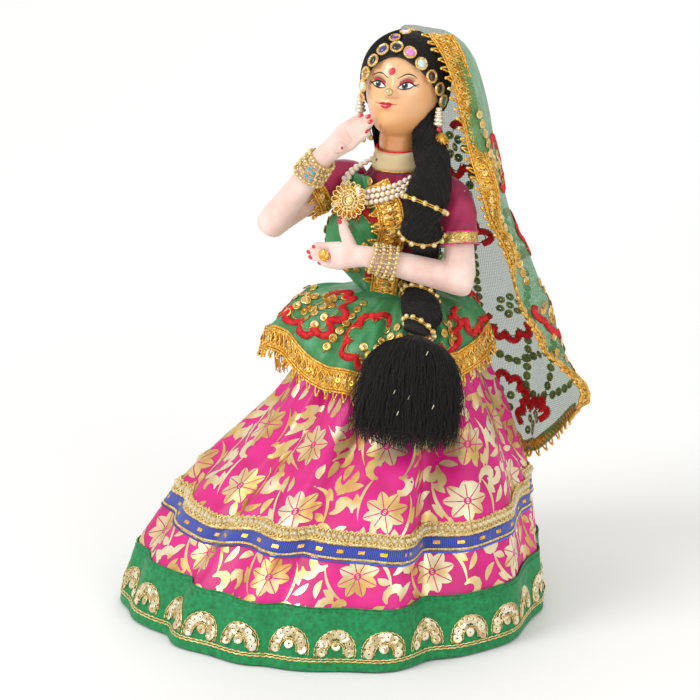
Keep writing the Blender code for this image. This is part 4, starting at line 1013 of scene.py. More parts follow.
def laceStrip(edge, across, out, wide, pitch=7.0, loops=-1, fringe=0.0, seed=2):
    # metallic braid along an edge path: a woven tape with ribs, a zigzag, sequins and picot loops on one side
    run = np.concatenate([[0], np.cumsum(np.linalg.norm(np.diff(edge, axis=0), axis=1))])
    n = int(run[-1] / 0.7)
    at = np.linspace(0, run[-1], n)
    line, side, up = (np.stack([np.interp(at, run, m[:, k]) for k in range(3)], -1) for m in (edge, across, out))
    side, up = unit(side), unit(up)

    def on(x, lift):
        x, lift = np.broadcast_to(x, at.shape), np.broadcast_to(lift, at.shape)
        return line + side * x[:, None] + up * lift[:, None]

    tape = np.stack([on(x, lift + 0.12 * np.sin(at * 2.6 + x)) for x, lift in
                     ((0, 0.1), (0, 0.5), (wide * 0.2, 0.6), (wide * 0.4, 0.55), (wide * 0.6, 0.55), (wide * 0.8, 0.6), (wide, 0.5), (wide, 0.1), (wide * 0.5, -0.1))])
    uv = np.stack(np.broadcast_arrays(np.arange(9)[:, None] * wide / 8, at[None]), -1)
    parts, looks = [grid(tape, wrapRows=True, uv=uv)], [mats["lace"]]
    for x in (0.2, 1.5, wide - 1.5, wide - 0.2):
        for sway in (-0.35, 0.35):
            parts.append(strands(on(x + sway * np.sin(at * 2.4), 0.95), 0.36, 4))
            looks.append(mats["gold"])
    # a net of crossing cords with gaps like small diamonds
    middle, half = wide * 0.5, wide * 0.5 - 2.3
    for phase in (0.0, 0.5):
        tri = np.abs(((at / pitch + phase) % 1.0) * 2 - 1) * 2 - 1
        parts.append(strands(on(middle + half * tri, 1.05), 0.42, 4))
        looks.append(mats["brightGold"])
    for x in (middle - 1.1, middle + 1.1):
        parts.append(strands(on(x, 0.85), 0.3, 4))
        looks.append(mats["gold"])
    rng = np.random.default_rng(seed)
    k = (np.arange(0.5 * pitch, run[-1] - 0.4 * pitch, pitch * 0.5) / run[-1] * (n - 1)).astype(int)
    axes = np.stack([side[k], np.cross(up[k], side[k]), up[k]], -2)
    tilt = rng.normal(0, 0.2, (len(k), 3))
    axes = unit(axes + np.cross(tilt[:, None], axes))
    parts.append(scatter(ringSequin, (on(middle, 1.35))[k], axes, 0.72))
    looks.append(mats["sequinGold"])
    # picots: loops standing off one edge, each with a bead of the same thread at its end
    way = loops
    base = 0.0 if way < 0 else wide
    k = (np.arange(2.0, run[-1] - 2.0, 5.2) / run[-1] * (n - 1)).astype(int)
    q = np.linspace(0, np.pi, 8)
    ahead = unit(np.gradient(line, axis=0))[k]
    reach = rng.uniform(2.6, 3.9, len(k))
    loop = on(base, 0.5)[k][:, None] + way * side[k][:, None] * (np.sin(q)[None, :, None] * reach[:, None, None]) \
        + ahead[:, None] * (np.cos(q) * 1.1)[None, :, None] + up[k][:, None] * rng.uniform(-0.6, 0.9, (len(k), 1, 1)) * np.sin(q)[None, :, None]
    parts.append(strands(loop, 0.5, 4))
    looks.append(mats["gold"])
    tipAt = on(base, 0.6)[k] + way * side[k] * (reach + 0.4)[:, None]
    parts.append(scatter(roundBead, tipAt, axes[:1], 0.85))
    looks.append(mats["brightGold"])
    if fringe:
        # hanging threads, kinked and uneven, in small bunches
        count = int(run[-1] / 0.42)
        j = np.sort(rng.integers(0, n, count))
        bunch = np.round(at[j] / 3.2) * 3.2
        length = fringe * rng.uniform(0.65, 1.1, count)
        s = np.linspace(0, 1, 7)
        drop = np.zeros((count, 7, 3))
        drop[..., 2] = -length[:, None] * s
        drop += ahead[:1] * ((bunch - at[j])[:, None, None] * 0.6 * s[None, :, None])
        wave = np.stack([np.sin(s[None] * 9 + rng.uniform(0, 6, (count, 1))), np.cos(s[None] * 8 + rng.uniform(0, 6, (count, 1))), 0 * s + np.zeros((count, 1))], -1)
        path = on(wide, 0.3)[j][:, None] + drop + wave * 0.45 + up[j][:, None] * (0.5 * np.sin(s * 3)[None, :, None])
        parts.append(strands(path, 0.24, 3))
        looks.append(mats["gold"])
    return parts, looks


# net: fine open leno weave, so what lies behind shows through it
def netGreen(name, alphaLow, alphaHigh, colour="#4A9E5F"):
    mat, tree, shader = newMaterial(name, colour, 0.55, Sheen_Weight=0.25)
    coord = addNode(tree, "ShaderNodeTexCoord")
    cloud = addNode(tree, "ShaderNodeTexNoise", {"Vector": (coord, "Object"), "Scale": 70.0, "Detail": 3.0})
    tint = ramp(tree, (cloud, 0), [(0.3, "#35854C"), (0.55, colour), (0.8, "#7DB890")])
    tree.links.new(tint.outputs[0], shader.inputs["Base Color"])
    weave = weaveNodes(tree, 0.45)
    edge = addNode(tree, "ShaderNodeLayerWeight", {"Blend": 0.35})
    both = addNode(tree, "ShaderNodeMath", {0: (weave, 0), 1: (edge, "Facing")}, operation="MAXIMUM")
    see = addNode(tree, "ShaderNodeMapRange", {"Value": (both, 0), "To Min": alphaLow, "To Max": alphaHigh})
    tree.links.new(see.outputs[0], shader.inputs["Alpha"])
    addBump(tree, shader, (weave, 0), 0.3, 0.2)
    return mat


def laceGold():
    # flat metallised strips woven over a gauze, in short blocks that face different ways; each block is coloured its
    # own shade from dark orange to pale yellow, painted glints and shade for the way it faces
    mat, tree, shader = newMaterial("laceWovenGold", "#F0AE30", 0.32, Metallic=0.4)
    coord = addNode(tree, "ShaderNodeTexCoord")
    blocks = addNode(tree, "ShaderNodeTexVoronoi", {"Vector": (coord, "UV"), "Scale": 1.1})
    # block colours dark to pale: painted glints and shade
    tint = ramp(tree, (blocks, "Color"), [(0.08, "#C47C12"), (0.35, "#EBA021"), (0.6, "#F8C040"), (0.88, "#FFEA9C")])
    tree.links.new(tint.outputs[0], shader.inputs["Base Color"])
    rough = addNode(tree, "ShaderNodeMapRange", {"Value": (blocks, 0), "To Min": 0.18, "To Max": 0.5})
    tree.links.new(rough.outputs[0], shader.inputs["Roughness"])
    addBump(tree, shader, (blocks, 0), 0.6, 0.5)
    return mat


def silkThread(name, low, mid, high):
    mat, tree, shader = newMaterial(name, mid, 0.5)
    coord = addNode(tree, "ShaderNodeTexCoord")
    soft = addNode(tree, "ShaderNodeTexNoise", {"Vector": (coord, "Object"), "Scale": 500.0, "Detail": 2.0})
    tint = ramp(tree, (soft, 0), [(0.3, low), (0.5, mid), (0.75, high)])
    tree.links.new(tint.outputs[0], shader.inputs["Base Color"])
    return mat


mats["lace"] = laceGold()
mats["brightGold"] = threadGold("threadBrightGold", "#E09A2C", "#FAC544", "#FFF2B0")
mats["net"] = netGreen("netNylonGreen", 0.36, 0.72)
mats["netFront"] = netGreen("netNylonGreenFolded", 0.80, 1.0, "#2F8A4C")
mats["redSilk"] = silkThread("silkStitchRed", "#B00A16", "#E01422", "#F02A34")
mats["oldGold"] = sequinFilm("sequinFilmOld", "#B9852C", "#DDB052", "#F6DE9C")

# ---------- head cloth: c runs 0 at her left edge to 1 at her right, d runs 0 at the crown to 1 at the hem
veil = dict(crown=(17.0, 45.0, 293.4), bottom=57.0, rows=170, columns=260, laceWide=12.5)
veilTables = dict(
    left=[(0, 0.0), (0.03, 17.0), (0.061, 28.0), (0.124, 36.0), (0.18, 40.0), (0.245, 44.0), (0.32, 49.0), (0.407, 53.0),
          (0.459, 60.0), (0.53, 66.0), (0.606, 72.0), (0.652, 78.0), (0.736, 86.0), (0.811, 91.0), (0.9, 83.0), (1.0, 76.0)],
    back=[(0, 0.0), (0.03, 13.0), (0.061, 19.0), (0.13, 24.5), (0.24, 28.0), (0.35, 30.0), (0.48, 35.0), (0.62, 43.0),
          (0.72, 50.0), (0.83, 61.0), (1.0, 75.0)],
    start=[(0, -30.0), (0.06, -24.0), (0.13, -16.0), (0.24, -8.0), (0.33, -2.0), (0.42, 6.0), (0.6, 16.0), (0.75, 30.0), (1, 41.0)],
    end=[(0, 158.0), (0.06, 154.0), (0.13, 150.0), (0.24, 146.0), (0.33, 142.0), (1, 140.0)])


def onVeil(c, d):
    # falls from the crown over the back of the head, folds growing as it falls
    c, d = np.broadcast_arrays(np.asarray(c, float), np.asarray(d, float))
    lowest = curve(c, [(0, 0.81), (0.07, 0.92), (0.14, 1.0), (0.55, 1.0), (1, 0.62)])
    ragged = 0.012 * np.sin(c * 31) + 0.008 * np.sin(c * 57 + 1)
    d = d * (lowest + ragged * smooth01(d, 0.7, 1.0))
    start = curve(d, veilTables["start"])
    w = start + (curve(d, veilTables["end"]) - start) * c
    blend = smooth01(w, 40, 100)
    r = curve(d, veilTables["left"]) * (1 - blend) + curve(d, veilTables["back"]) * blend
    r = r * (1 - 0.10 * smooth01(w - start, 22, 0) * table(d, [(0, 1), (0.7, 1), (0.81, 0), (1, 0)]))
    a = np.radians(w)
    grow = table(d, [(0, 0), (0.12, 0.15), (0.3, 0.5), (1, 1)])
    r = r + grow * (1.9 * np.sin(9 * a + 2.2 * d) + 1.3 * np.sin(14 * a - 3.1 * d + 1) + 0.6 * np.sin(27 * a + 5 * d))
    r = r + 0.5 * np.sin(31 * d + 4 * a) * grow + 0.25 * np.sin(63 * d - 7 * a) * grow
    z = veil["crown"][2] + (veil["bottom"] - veil["crown"][2]) * curve(d, [(0, 0), (0.03, 0.012), (0.061, 0.045), (0.124, 0.12), (1, 1)])
    back = 13.0 * np.minimum(1.0, 2.5 * d)
    # keep it off the skirt: the skirt's mean circle at this height, met along the direction a
    h = np.clip(z / skirt["height"], 0, 1)
    k = curve(h, leanBy)
    dx, dy = skirt["lean"][0] * k - veil["crown"][0] + 1, skirt["lean"][1] * k - veil["crown"][1] + 13
    forward, aside = dx * np.cos(a) + dy * np.sin(a), dy * np.cos(a) - dx * np.sin(a)
    rr = skirt["waist"] + (skirt["hem"] - skirt["waist"]) * curve(h, slope) + 9.0
    reach = forward + np.sqrt(np.maximum(rr ** 2 - aside ** 2, 0)) + 1.5 + 1.2 * np.sin(11 * a)
    lowPart = smooth01(d, 0.5, 0.6)
    r = r + np.maximum(reach - r, 0) * lowPart
    return np.stack([veil["crown"][0] + r * np.cos(a) - d, veil["crown"][1] - back + r * np.sin(a), z + 1.2], -1)


def veilEdge(c, low, high, count=240):
    d = np.linspace(low, high, count)
    p, axes = framesOn(onVeil, np.full(count, c), d, 0.002, 0.002)
    return p, axes


def embroider(surface, scallops, chains, clusters, side, seed):
    # red scallops in satin stitch, gold thread inside them, chains and clusters of sequins
    parts, looks = [], []
    rng = np.random.default_rng(seed)
    for u0, v0, x, y, radius, lobes, start, sweep, wide in scallops:
        u, v = placeOn(surface, u0, v0, scallopPath(x, y, radius, lobes, start, sweep))
        parts.append(satinStitch(surface, u, v, wide, 0.5, side))
        looks.append(mats["redSilk"])
        u, v = placeOn(surface, u0, v0, scallopPath(x, y, radius - wide * 0.75, lobes, start, sweep))
        parts.append(chainStitch(surface, u, v, 0.32, side))
        looks.append(mats["oldGoldThread"])
    for path in chains:
        path = np.array(path, float)
        p = surface(path[:, 0], path[:, 1])
        run = np.concatenate([[0], np.cumsum(np.linalg.norm(np.diff(p, axis=0), axis=1))])
        at = np.arange(1.5, run[-1], 5.1)
        u, v = np.interp(at, run, path[:, 0]), np.interp(at, run, path[:, 1])
        parts.append(sequinsAt(surface, u, v, 1.0, side, seed))
        looks.append(mats["oldGold"])
        fine = np.arange(0, run[-1], 1.0)
        u, v = np.interp(fine, run, path[:, 0]), np.interp(fine, run, path[:, 1])
        parts.append(chainStitch(surface, u, v, 0.34, side))
        looks.append(mats["oldGoldThread"])
    for u0, v0, rings in clusters:
        q = np.linspace(0, 2 * np.pi, rings, endpoint=False) + rng.uniform(0, 1)
        xy = np.concatenate([[[0, 0]], np.stack([np.cos(q), np.sin(q)], -1) * 5.4])
        u, v = placeOn(surface, u0, v0, xy)
        parts.append(sequinsAt(surface, u, v, 1.0, side, seed + rings))
        looks.append(mats["oldGold"])
    return parts, looks


def makeVeil():
    c = np.linspace(0.02, 1, veil["columns"])[None, :]
    d = np.linspace(0.035, 1, veil["rows"])[:, None]
    p = onVeil(*np.broadcast_arrays(c, d))
    cloth = makePiece("veilNet", grid(p, uv=np.stack(np.broadcast_arrays(c * 300, d * 300), -1)), mats["net"], closed=False)
    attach(cloth, "stand")
    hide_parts("dupatta_veil")
    # lace down the left edge, narrower on the way round the hem
    p, axes = veilEdge(0.012, 0.03, 1.0)
    parts, looks = laceStrip(p, axes[:, 0], -axes[:, 2], veil["laceWide"], loops=-1)
    c2 = np.linspace(0.985, 0.02, 300)
    p2, axes2 = framesOn(onVeil, c2, np.full(300, 0.998), 0.002, 0.002)
    more, moreLooks = laceStrip(p2, -axes2[:, 1], -axes2[:, 2], 5.5, pitch=4.0, loops=-1, seed=9)
    lace = makePiece("veilLace", parts + more, looks + moreLooks, closed=False)
    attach(lace, "stand")
    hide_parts("veil_lace")
    pi = math.pi
    scallops = [(0.20, 0.30, 0, 0, 13, 4, -1.9, 3.6, 3.4), (0.30, 0.47, 0, 0, 13, 4, 1.2, 3.6, 3.4),
                (0.13, 0.66, 0, 0, 14, 4, 0.2, pi, 3.4), (0.36, 0.68, 0, 0, 15, 5, 0.2, pi, 3.4),
                (0.22, 0.93, 0, 0, 15, 5, 3.3, pi, 3.2), (0.37, 0.90, 0, 0, 14, 5, 3.3, pi, 3.2),
                (0.52, 0.92, 0, 0, 14, 5, 3.3, pi, 3.2), (0.66, 0.92, 0, 0, 14, 5, 3.3, pi, 3.2), (0.82, 0.9, 0, 0, 14, 5, 3.3, pi, 3.2),
                (0.55, 0.30, 0, 0, 13, 4, 1.2, 3.6, 3.4), (0.62, 0.62, 0, 0, 15, 5, 0.2, pi, 3.4), (0.80, 0.48, 0, 0, 13, 4, -1.9, 3.6, 3.4),
                (0.52, 0.52, 0, 0, 14, 5, 3.3, pi, 3.2)]
    chains = [[(0.10, 0.18), (0.12, 0.40), (0.10, 0.58)], [(0.08, 0.73), (0.2, 0.75), (0.34, 0.80), (0.46, 0.77), (0.6, 0.8), (0.75, 0.78), (0.92, 0.8)],
              [(0.28, 0.56), (0.30, 0.74), (0.29, 0.92)], [(0.05, 0.80), (0.16, 0.86), (0.30, 0.86)], [(0.45, 0.2), (0.47, 0.5), (0.46, 0.9)],
              [(0.16, 0.56), (0.2, 0.75), (0.19, 0.86)], [(0.70, 0.3), (0.71, 0.55), (0.72, 0.9)], [(0.9, 0.3), (0.9, 0.6), (0.9, 0.9)]]
    clusters = [(0.20, 0.30, 6), (0.30, 0.47, 6), (0.13, 0.645, 5), (0.36, 0.66, 6), (0.22, 0.92, 5), (0.38, 0.90, 5),
                (0.55, 0.3, 6), (0.62, 0.6, 6), (0.8, 0.48, 6), (0.52, 0.91, 5), (0.66, 0.91, 5), (0.82, 0.89, 5)]
    parts, looks = embroider(onVeil, scallops, chains, clusters, veil["outward"], 31)
    work = makePiece("veilEmbroidery", parts, looks, closed=False)
    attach(work, "stand")
    return cloth


# ---------- end of the cloth spread over blouse and skirt
apronStand = [(-178, 23.6), (-147, 31.5), (-125, 33.0), (-105, 18.1), (-78, 13.1), (-30, 13.7), (16, 16.8), (30, 16.6)]
apronDrop = [(-178, 11.0), (-147, 17.0), (-125, 7.0), (-105, 21.0), (-78, 24.0), (-30, 18.0), (16, 12.0), (30, 11.0)]
torsoWide = [(0, 15.5), (0.22, 15), (0.45, 17.5), (0.68, 20.5), (0.85, 21), (0.94, 17), (1, 12.5)]
torsoDeep = [(0, 13), (0.22, 12.5), (0.45, 15), (0.64, 16.5), (0.85, 12.5), (0.94, 11.5), (1, 11)]
torso = dict(axis=(16.0, 32.0), low=154.0, top=222.0)


def onTorso(w, z, lift=0.0):
    # an oval by height, the two sides by wide and deep
    k = (z - torso["low"]) / (torso["top"] - torso["low"])
    a, b = curve(k, torsoWide) + lift, curve(k, torsoDeep) + lift
    bust = 1.8 * (np.exp(-((w + 1.05) / 0.38) ** 2) + np.exp(-((w + 2.09) / 0.38) ** 2)) * np.exp(-((z - 196) / 8.5) ** 2)
    x = torso["axis"][0] + (a + bust) * np.cos(w)
    return np.stack(np.broadcast_arrays(x, torso["axis"][1] + (b + bust) * np.sin(w), z), -1)


def onApron(u, v):
    # u is a share of the way round from her right side to her left, v from waist to hem
    u, v = np.broadcast_arrays(np.asarray(u, float), np.asarray(v, float))
    deg = -178 + 208 * u
    w = np.radians(deg)
    top = onTorso(w, 159.8 + 0 * w, 3.6)
    z = torso["low"] - curve(deg, apronDrop)
    h = z / skirt["height"]
    r = skirt["waist"] + (skirt["hem"] - skirt["waist"]) * curve(h, slope) + curve(deg, apronStand)
    low = np.stack([skirt["lean"][0] + r * np.cos(w), skirt["lean"][1] + r * np.sin(w), z], -1)
    p = top + (low - top) * v[..., None]
    fold = 1.5 * np.sin(13 * w + 2.0 * v) + 0.9 * np.sin(23 * w - 3 * v + 1) + 0.5 * np.sin(41 * w + 4 * v)
    lift = 6.5 * np.sin(np.pi * np.minimum(v, 1)) + fold * smooth01(v, 0.0, 0.45) * (1 - 0.35 * smooth01(v, 0.8, 1.0))
    out = unit(np.stack([np.cos(w), np.sin(w), 0.9 + 0 * w], -1))
    return p + out * lift[..., None]


def makeApron():
    u = np.linspace(0, 1, 280)[None, :]
    v = np.linspace(0, 1.02, 70)[:, None]
    p = onApron(*np.broadcast_arrays(u, v))
    cloth = makePiece("apronNet", grid(p, uv=np.stack(np.broadcast_arrays(u * 200, v * 60), -1)), mats["netFront"], closed=False)
    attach(cloth, "stand")
    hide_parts("dupatta_apron")
    uu = np.linspace(0.0, 1.0, 320)
    edge, axes = framesOn(onApron, uu, np.full(320, 0.985), 0.002, 0.002)
    w = np.radians(-178 + 208 * uu)
    out = np.stack([np.cos(w), np.sin(w), 0.25 + 0 * w], -1)
    down = np.stack([0.28 * np.cos(w), 0.28 * np.sin(w), -1 + 0 * w], -1)
    parts, looks = laceStrip(edge + unit(out) * 0.4, down, out, 12.0, loops=1, seed=4)
    lace = makePiece("apronLace", parts, looks, closed=False)
    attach(lace, "stand")
    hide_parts("apron_lace")
    # a second end of lace turned under at her right, its fringe hanging
    k = np.linspace(0.0, 0.20, 90)
    w = np.radians(-178 + 208 * k)
    under = onApron(k, np.full(90, 0.86)) - np.stack([0 * w, 0 * w, 5 + 3 * np.sin(k * 30)], -1)
    out = np.stack([np.cos(w), np.sin(w), 0 * w], -1)
    more, moreLooks = laceStrip(under, np.stack([0 * w, 0 * w, -1 + 0 * w], -1), out, 7.0, loops=1, fringe=17.0, seed=6)
    tail = makePiece("apronFringe", more, moreLooks, closed=False)
    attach(tail, "stand")
    pi = math.pi
    scallops = [(0.27, 0.52, 0, 0, 15, 6, -2.2, 4.6, 3.6), (0.50, 0.62, 0, 0, 14, 5, 1.2, 4.2, 3.4), (0.74, 0.6, 0, 0, 13, 5, -0.3, 3.8, 3.2),
                (0.08, 0.6, 0, 0, 13, 5, -0.3, 3.8, 3.2), (0.92, 0.55, 0, 0, 13, 5, -0.3, 3.8, 3.2)]
    clusters = [(0.25, 0.5, 7), (0.29, 0.62, 5), (0.22, 0.66, 4), (0.27, 0.34, 3), (0.50, 0.80, 4), (0.56, 0.6, 5), (0.76, 0.7, 5), (0.08, 0.6, 5)]
    chains = [[(0.38, 0.15), (0.385, 0.5), (0.37, 0.9)], [(0.62, 0.2), (0.64, 0.9)], [(0.16, 0.2), (0.15, 0.85)]]
    parts, looks = embroider(onApron, scallops, chains, clusters, apronSide, 41)
    work = makePiece("apronEmbroidery", parts, looks, closed=False)
    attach(work, "stand")


def onFront(u, v):
    # the part brought over her right shoulder: u across, v from the waist up; its pleats run to the shoulder
    u, v = np.broadcast_arrays(np.asarray(u, float), np.asarray(v, float))
    z = 158.5 + 61.5 * v
    left = table(v, [(0, -50), (0.35, -54), (0.6, -66), (0.8, -84), (1.0, -112)])
    deg = -186 + (left + 186) * u
    loose = 15.0 * np.sin(np.pi * np.clip((z - 159.0) / 48.0, 0, 1)) * np.exp(-((deg + 140.0) / 32.0) ** 2)
    pleat = 0.9 * np.sin(34 * u + 3 * v) + 0.45 * np.sin(61 * u - 2 * v)
    over = 6.0 * smooth01(v, 0.70, 0.95) * np.exp(-((deg + 165.0) / 42.0) ** 2)
    return onTorso(np.radians(deg), z, 4.2 + loose + over + pleat * (0.5 + 0.5 * v))


def makeFront():
    u = np.linspace(0, 1, 150)[None, :]
    v = np.linspace(0, 1, 90)[:, None]
    p = onFront(*np.broadcast_arrays(u, v))
    cloth = makePiece("frontNet", grid(p), mats["netFront"], closed=False)
    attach(cloth, "stand")
    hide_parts("dupatta_front")
    scallops = [(0.72, 0.55, 0, 0, 11, 4, -0.6, 3.4, 3.4), (0.34, 0.62, 0, 0, 11, 4, 1.0, 3.4, 3.4), (0.25, 0.30, 0, 0, 11, 4, 1.2, 3.4, 3.4), (0.86, 0.18, 0, 0, 10, 4, 0.2, 3.2, 3.0)]
    chains = [[(0.25, 0.05), (0.33, 0.5), (0.45, 0.95)], [(0.97, 0.03), (0.965, 0.5), (0.95, 0.96)]]
    parts, looks = embroider(onFront, scallops, chains, [(0.74, 0.40, 4), (0.5, 0.3, 5)], frontSide, 51)
    work = makePiece("frontEmbroidery", parts, looks, closed=False)
    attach(work, "stand")


mats["oldGoldThread"] = threadGold("threadOldGold", "#9A7828", "#CBA040", "#EED48C")
veil["outward"] = -1.0
apronSide = -1.0
frontSide = 1.0
print("head cloth")
veilNet = makeVeil()
print("apron")
makeApron()
makeFront()


# ---------- body, blouse and stuffed arms
def stockinette():
    # fine knitted tube, pulled tight over cotton, tinted pink
    mat, tree, shader = newMaterial("stockinetteKnitPink", "#ECCBBE", 0.72, Sheen_Weight=0.35, Sheen_Roughness=0.5,
                                    Subsurface_Weight=0.08, Subsurface_Radius=(0.002, 0.001, 0.0008))
    coord = addNode(tree, "ShaderNodeTexCoord")
    broad = addNode(tree, "ShaderNodeTexNoise", {"Vector": (coord, "Object"), "Scale": 90.0, "Detail": 4.0})
    tint = ramp(tree, (broad, 0), [(0.3, "#DFB5A7"), (0.5, "#EBCABD"), (0.75, "#F3DBD1")])
    tree.links.new(tint.outputs[0], shader.inputs["Base Color"])
    knit = weaveNodes(tree, 0.6, twill=True)
    addBump(tree, shader, (knit, 0), 0.22, 0.18)
    return mat


def wovenCloth(name, low, mid, high, threadMm=0.5, sheen=0.3):
    mat, tree, shader = newMaterial(name, mid, 0.6, Sheen_Weight=sheen, Sheen_Roughness=0.4)
    coord = addNode(tree, "ShaderNodeTexCoord")
    broad = addNode(tree, "ShaderNodeTexNoise", {"Vector": (coord, "Object"), "Scale": 80.0, "Detail": 4.0})
    tint = ramp(tree, (broad, 0), [(0.3, low), (0.5, mid), (0.78, high)])
    tree.links.new(tint.outputs[0], shader.inputs["Base Color"])
    weave = weaveNodes(tree, threadMm)
    addBump(tree, shader, (weave, 0), 0.25, 0.2)
    return mat


mats["stocking"] = stockinette()
mats["maroon"] = wovenCloth("cottonWovenMaroon", "#7E0F38", "#A3174B", "#BC2A60")
# rust-brown cloth for the right sleeve band: painted shade for gold lace in shadow
mats["lining"] = wovenCloth("wovenPaintedShadeRust", "#8A4A1C", "#B5662C", "#CB8444")
mats["brocade"] = threadGold("brocadeWovenGold", "#9C7424", "#CDA550", "#F1DC9A")
mats["nail"] = newMaterial("lacquerBrushedRed", "#C8182E", 0.2, Coat_Weight=0.8)[0]


def shapeTube(path, radii, sides=28, flat=1.0, ref=(0.518, -0.798, 0.309), count=60):
    # a closed limb: the path and its radii rounded through, then ringed, its ends drawn in
    t = np.linspace(0, 1, len(path))
    tt = np.linspace(0, 1, count)
    p = np.stack([curve(tt, np.stack([t, np.array(path)[:, k]], -1)) for k in range(3)], -1)
    r = curve(tt, np.stack([t, radii], -1))
    f = curve(tt, np.stack([t, np.broadcast_to(flat, len(path))], -1))
    d = unit(np.gradient(p, axis=0))
    a = unit(np.cross(d, np.broadcast_to(ref, d.shape)))
    b = np.cross(d, a)
    q = np.linspace(0, 2 * np.pi, sides, endpoint=False)
    ring = p[:, None] + r[:, None, None] * (a[:, None] * np.cos(q)[:, None] + (f[:, None, None] * b[:, None]) * np.sin(q)[:, None])
    return grid(ring, wrap=True, caps=True)


def melt(ob, voxelMm, rounds, lift=0.0):
    # joins overlapping stuffed shapes into one skin and rounds the creases between them
    for kind, settings in (("REMESH", dict(mode="VOXEL", voxel_size=voxelMm / 1000, use_smooth_shade=True)),
                           ("SMOOTH", dict(factor=0.6, iterations=rounds))):
        mod = ob.modifiers.new(kind.lower(), kind)
        for key, value in settings.items():
            setattr(mod, key, value)
    deps = bpy.context.evaluated_depsgraph_get()
    done = bpy.data.meshes.new_from_object(ob.evaluated_get(deps))
    done.polygons.foreach_set("material_index", [0] * len(done.polygons))
    done.polygons.foreach_set("use_smooth", [True] * len(done.polygons))
    ob.modifiers.clear()
    ob.data = done
    return ob


def makeTorso():
    w = np.linspace(-np.pi, np.pi, 96, endpoint=False)[None, :]
    z = np.linspace(154.3, 222.0, 60)[:, None]
    body = makePiece("bodyStuffing", grid(onTorso(*np.broadcast_arrays(w, z), -0.3), wrap=True, caps=True), mats["stocking"])
    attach(body, "stand")
    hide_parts("torso")
    w = np.linspace(-np.pi, np.pi, 160, endpoint=False)[None, :]
    z = np.linspace(158.0, 222.4, 90)[:, None]
    crease = 0.35 * np.sin(9 * w + 0.16 * z) * smooth01(z, 215, 190) + 0.25 * np.sin(17 * w - 0.2 * z)
    p = onTorso(*np.broadcast_arrays(w, z), 1.4 + crease)
    blouse = makePiece("blouseCloth", grid(p, wrap=True), mats["maroon"], closed=False)
    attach(blouse, "stand")
    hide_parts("blouse")
    z = np.linspace(153.6, 160.4, 14)[:, None]
    p = onTorso(*np.broadcast_arrays(w, z), 1.9 + 0.5 * np.sin(3.14 * (z - 153.6) / 6.8) + 0.3 * np.sin(29 * w))
    band = makePiece("waistBand", grid(p, wrap=True), mats["satin"], closed=False)
    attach(band, "stand")
    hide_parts("waistband")
    # gold lace down the blouse's front opening, from the neck to the waist
    v = np.linspace(0, 1, 120)
    w = np.radians(table(v, [(0, -78), (0.2, -62), (0.4, -52), (0.7, -58), (1, -64)]))
    z = 221.5 - 60 * v
    p = onTorso(w, z, 5.4)
    out = unit(np.stack([np.cos(w), np.sin(w) * 1.3, 0 * w], -1))
    side = -unit(np.cross(out, unit(np.gradient(p, axis=0))))
    parts, looks = laceStrip(p, side, out, 13.0, pitch=6.0, loops=1, seed=12)
    lace = makePiece("blouseLace", parts, looks, closed=False)
    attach(lace, "stand")


arms = dict(
    left=dict(shoulder=(50.5, 31.0, 212.0), elbow=(60.5, 19.6, 174.0), wrist=(21.5, -6.0, 186.5), tips=(-12.0, -9.0, 182.5),
              thumb=(-8.0, 1.0, 17.5), sleeve=(-10.5, 17.0), spread=(-0.3, 0.0, -1.0), bangles=(4, 3.2, 3.7), palmSide=-1.0),
    right=dict(shoulder=(-18.5, 29.0, 212.0), elbow=(-37.0, -2.0, 194.0), wrist=(-8.5, 2.0, 232.0), tips=(13.0, 10.5, 252.5),
               thumb=(9.5, -6.0, 2.0), sleeve=(-10.5, 11.0), spread=(0.75, -0.15, -0.6), bangles=(4, 3.2, 3.7), palmSide=1.0))
facingView = np.array([0.518, -0.798, 0.309])


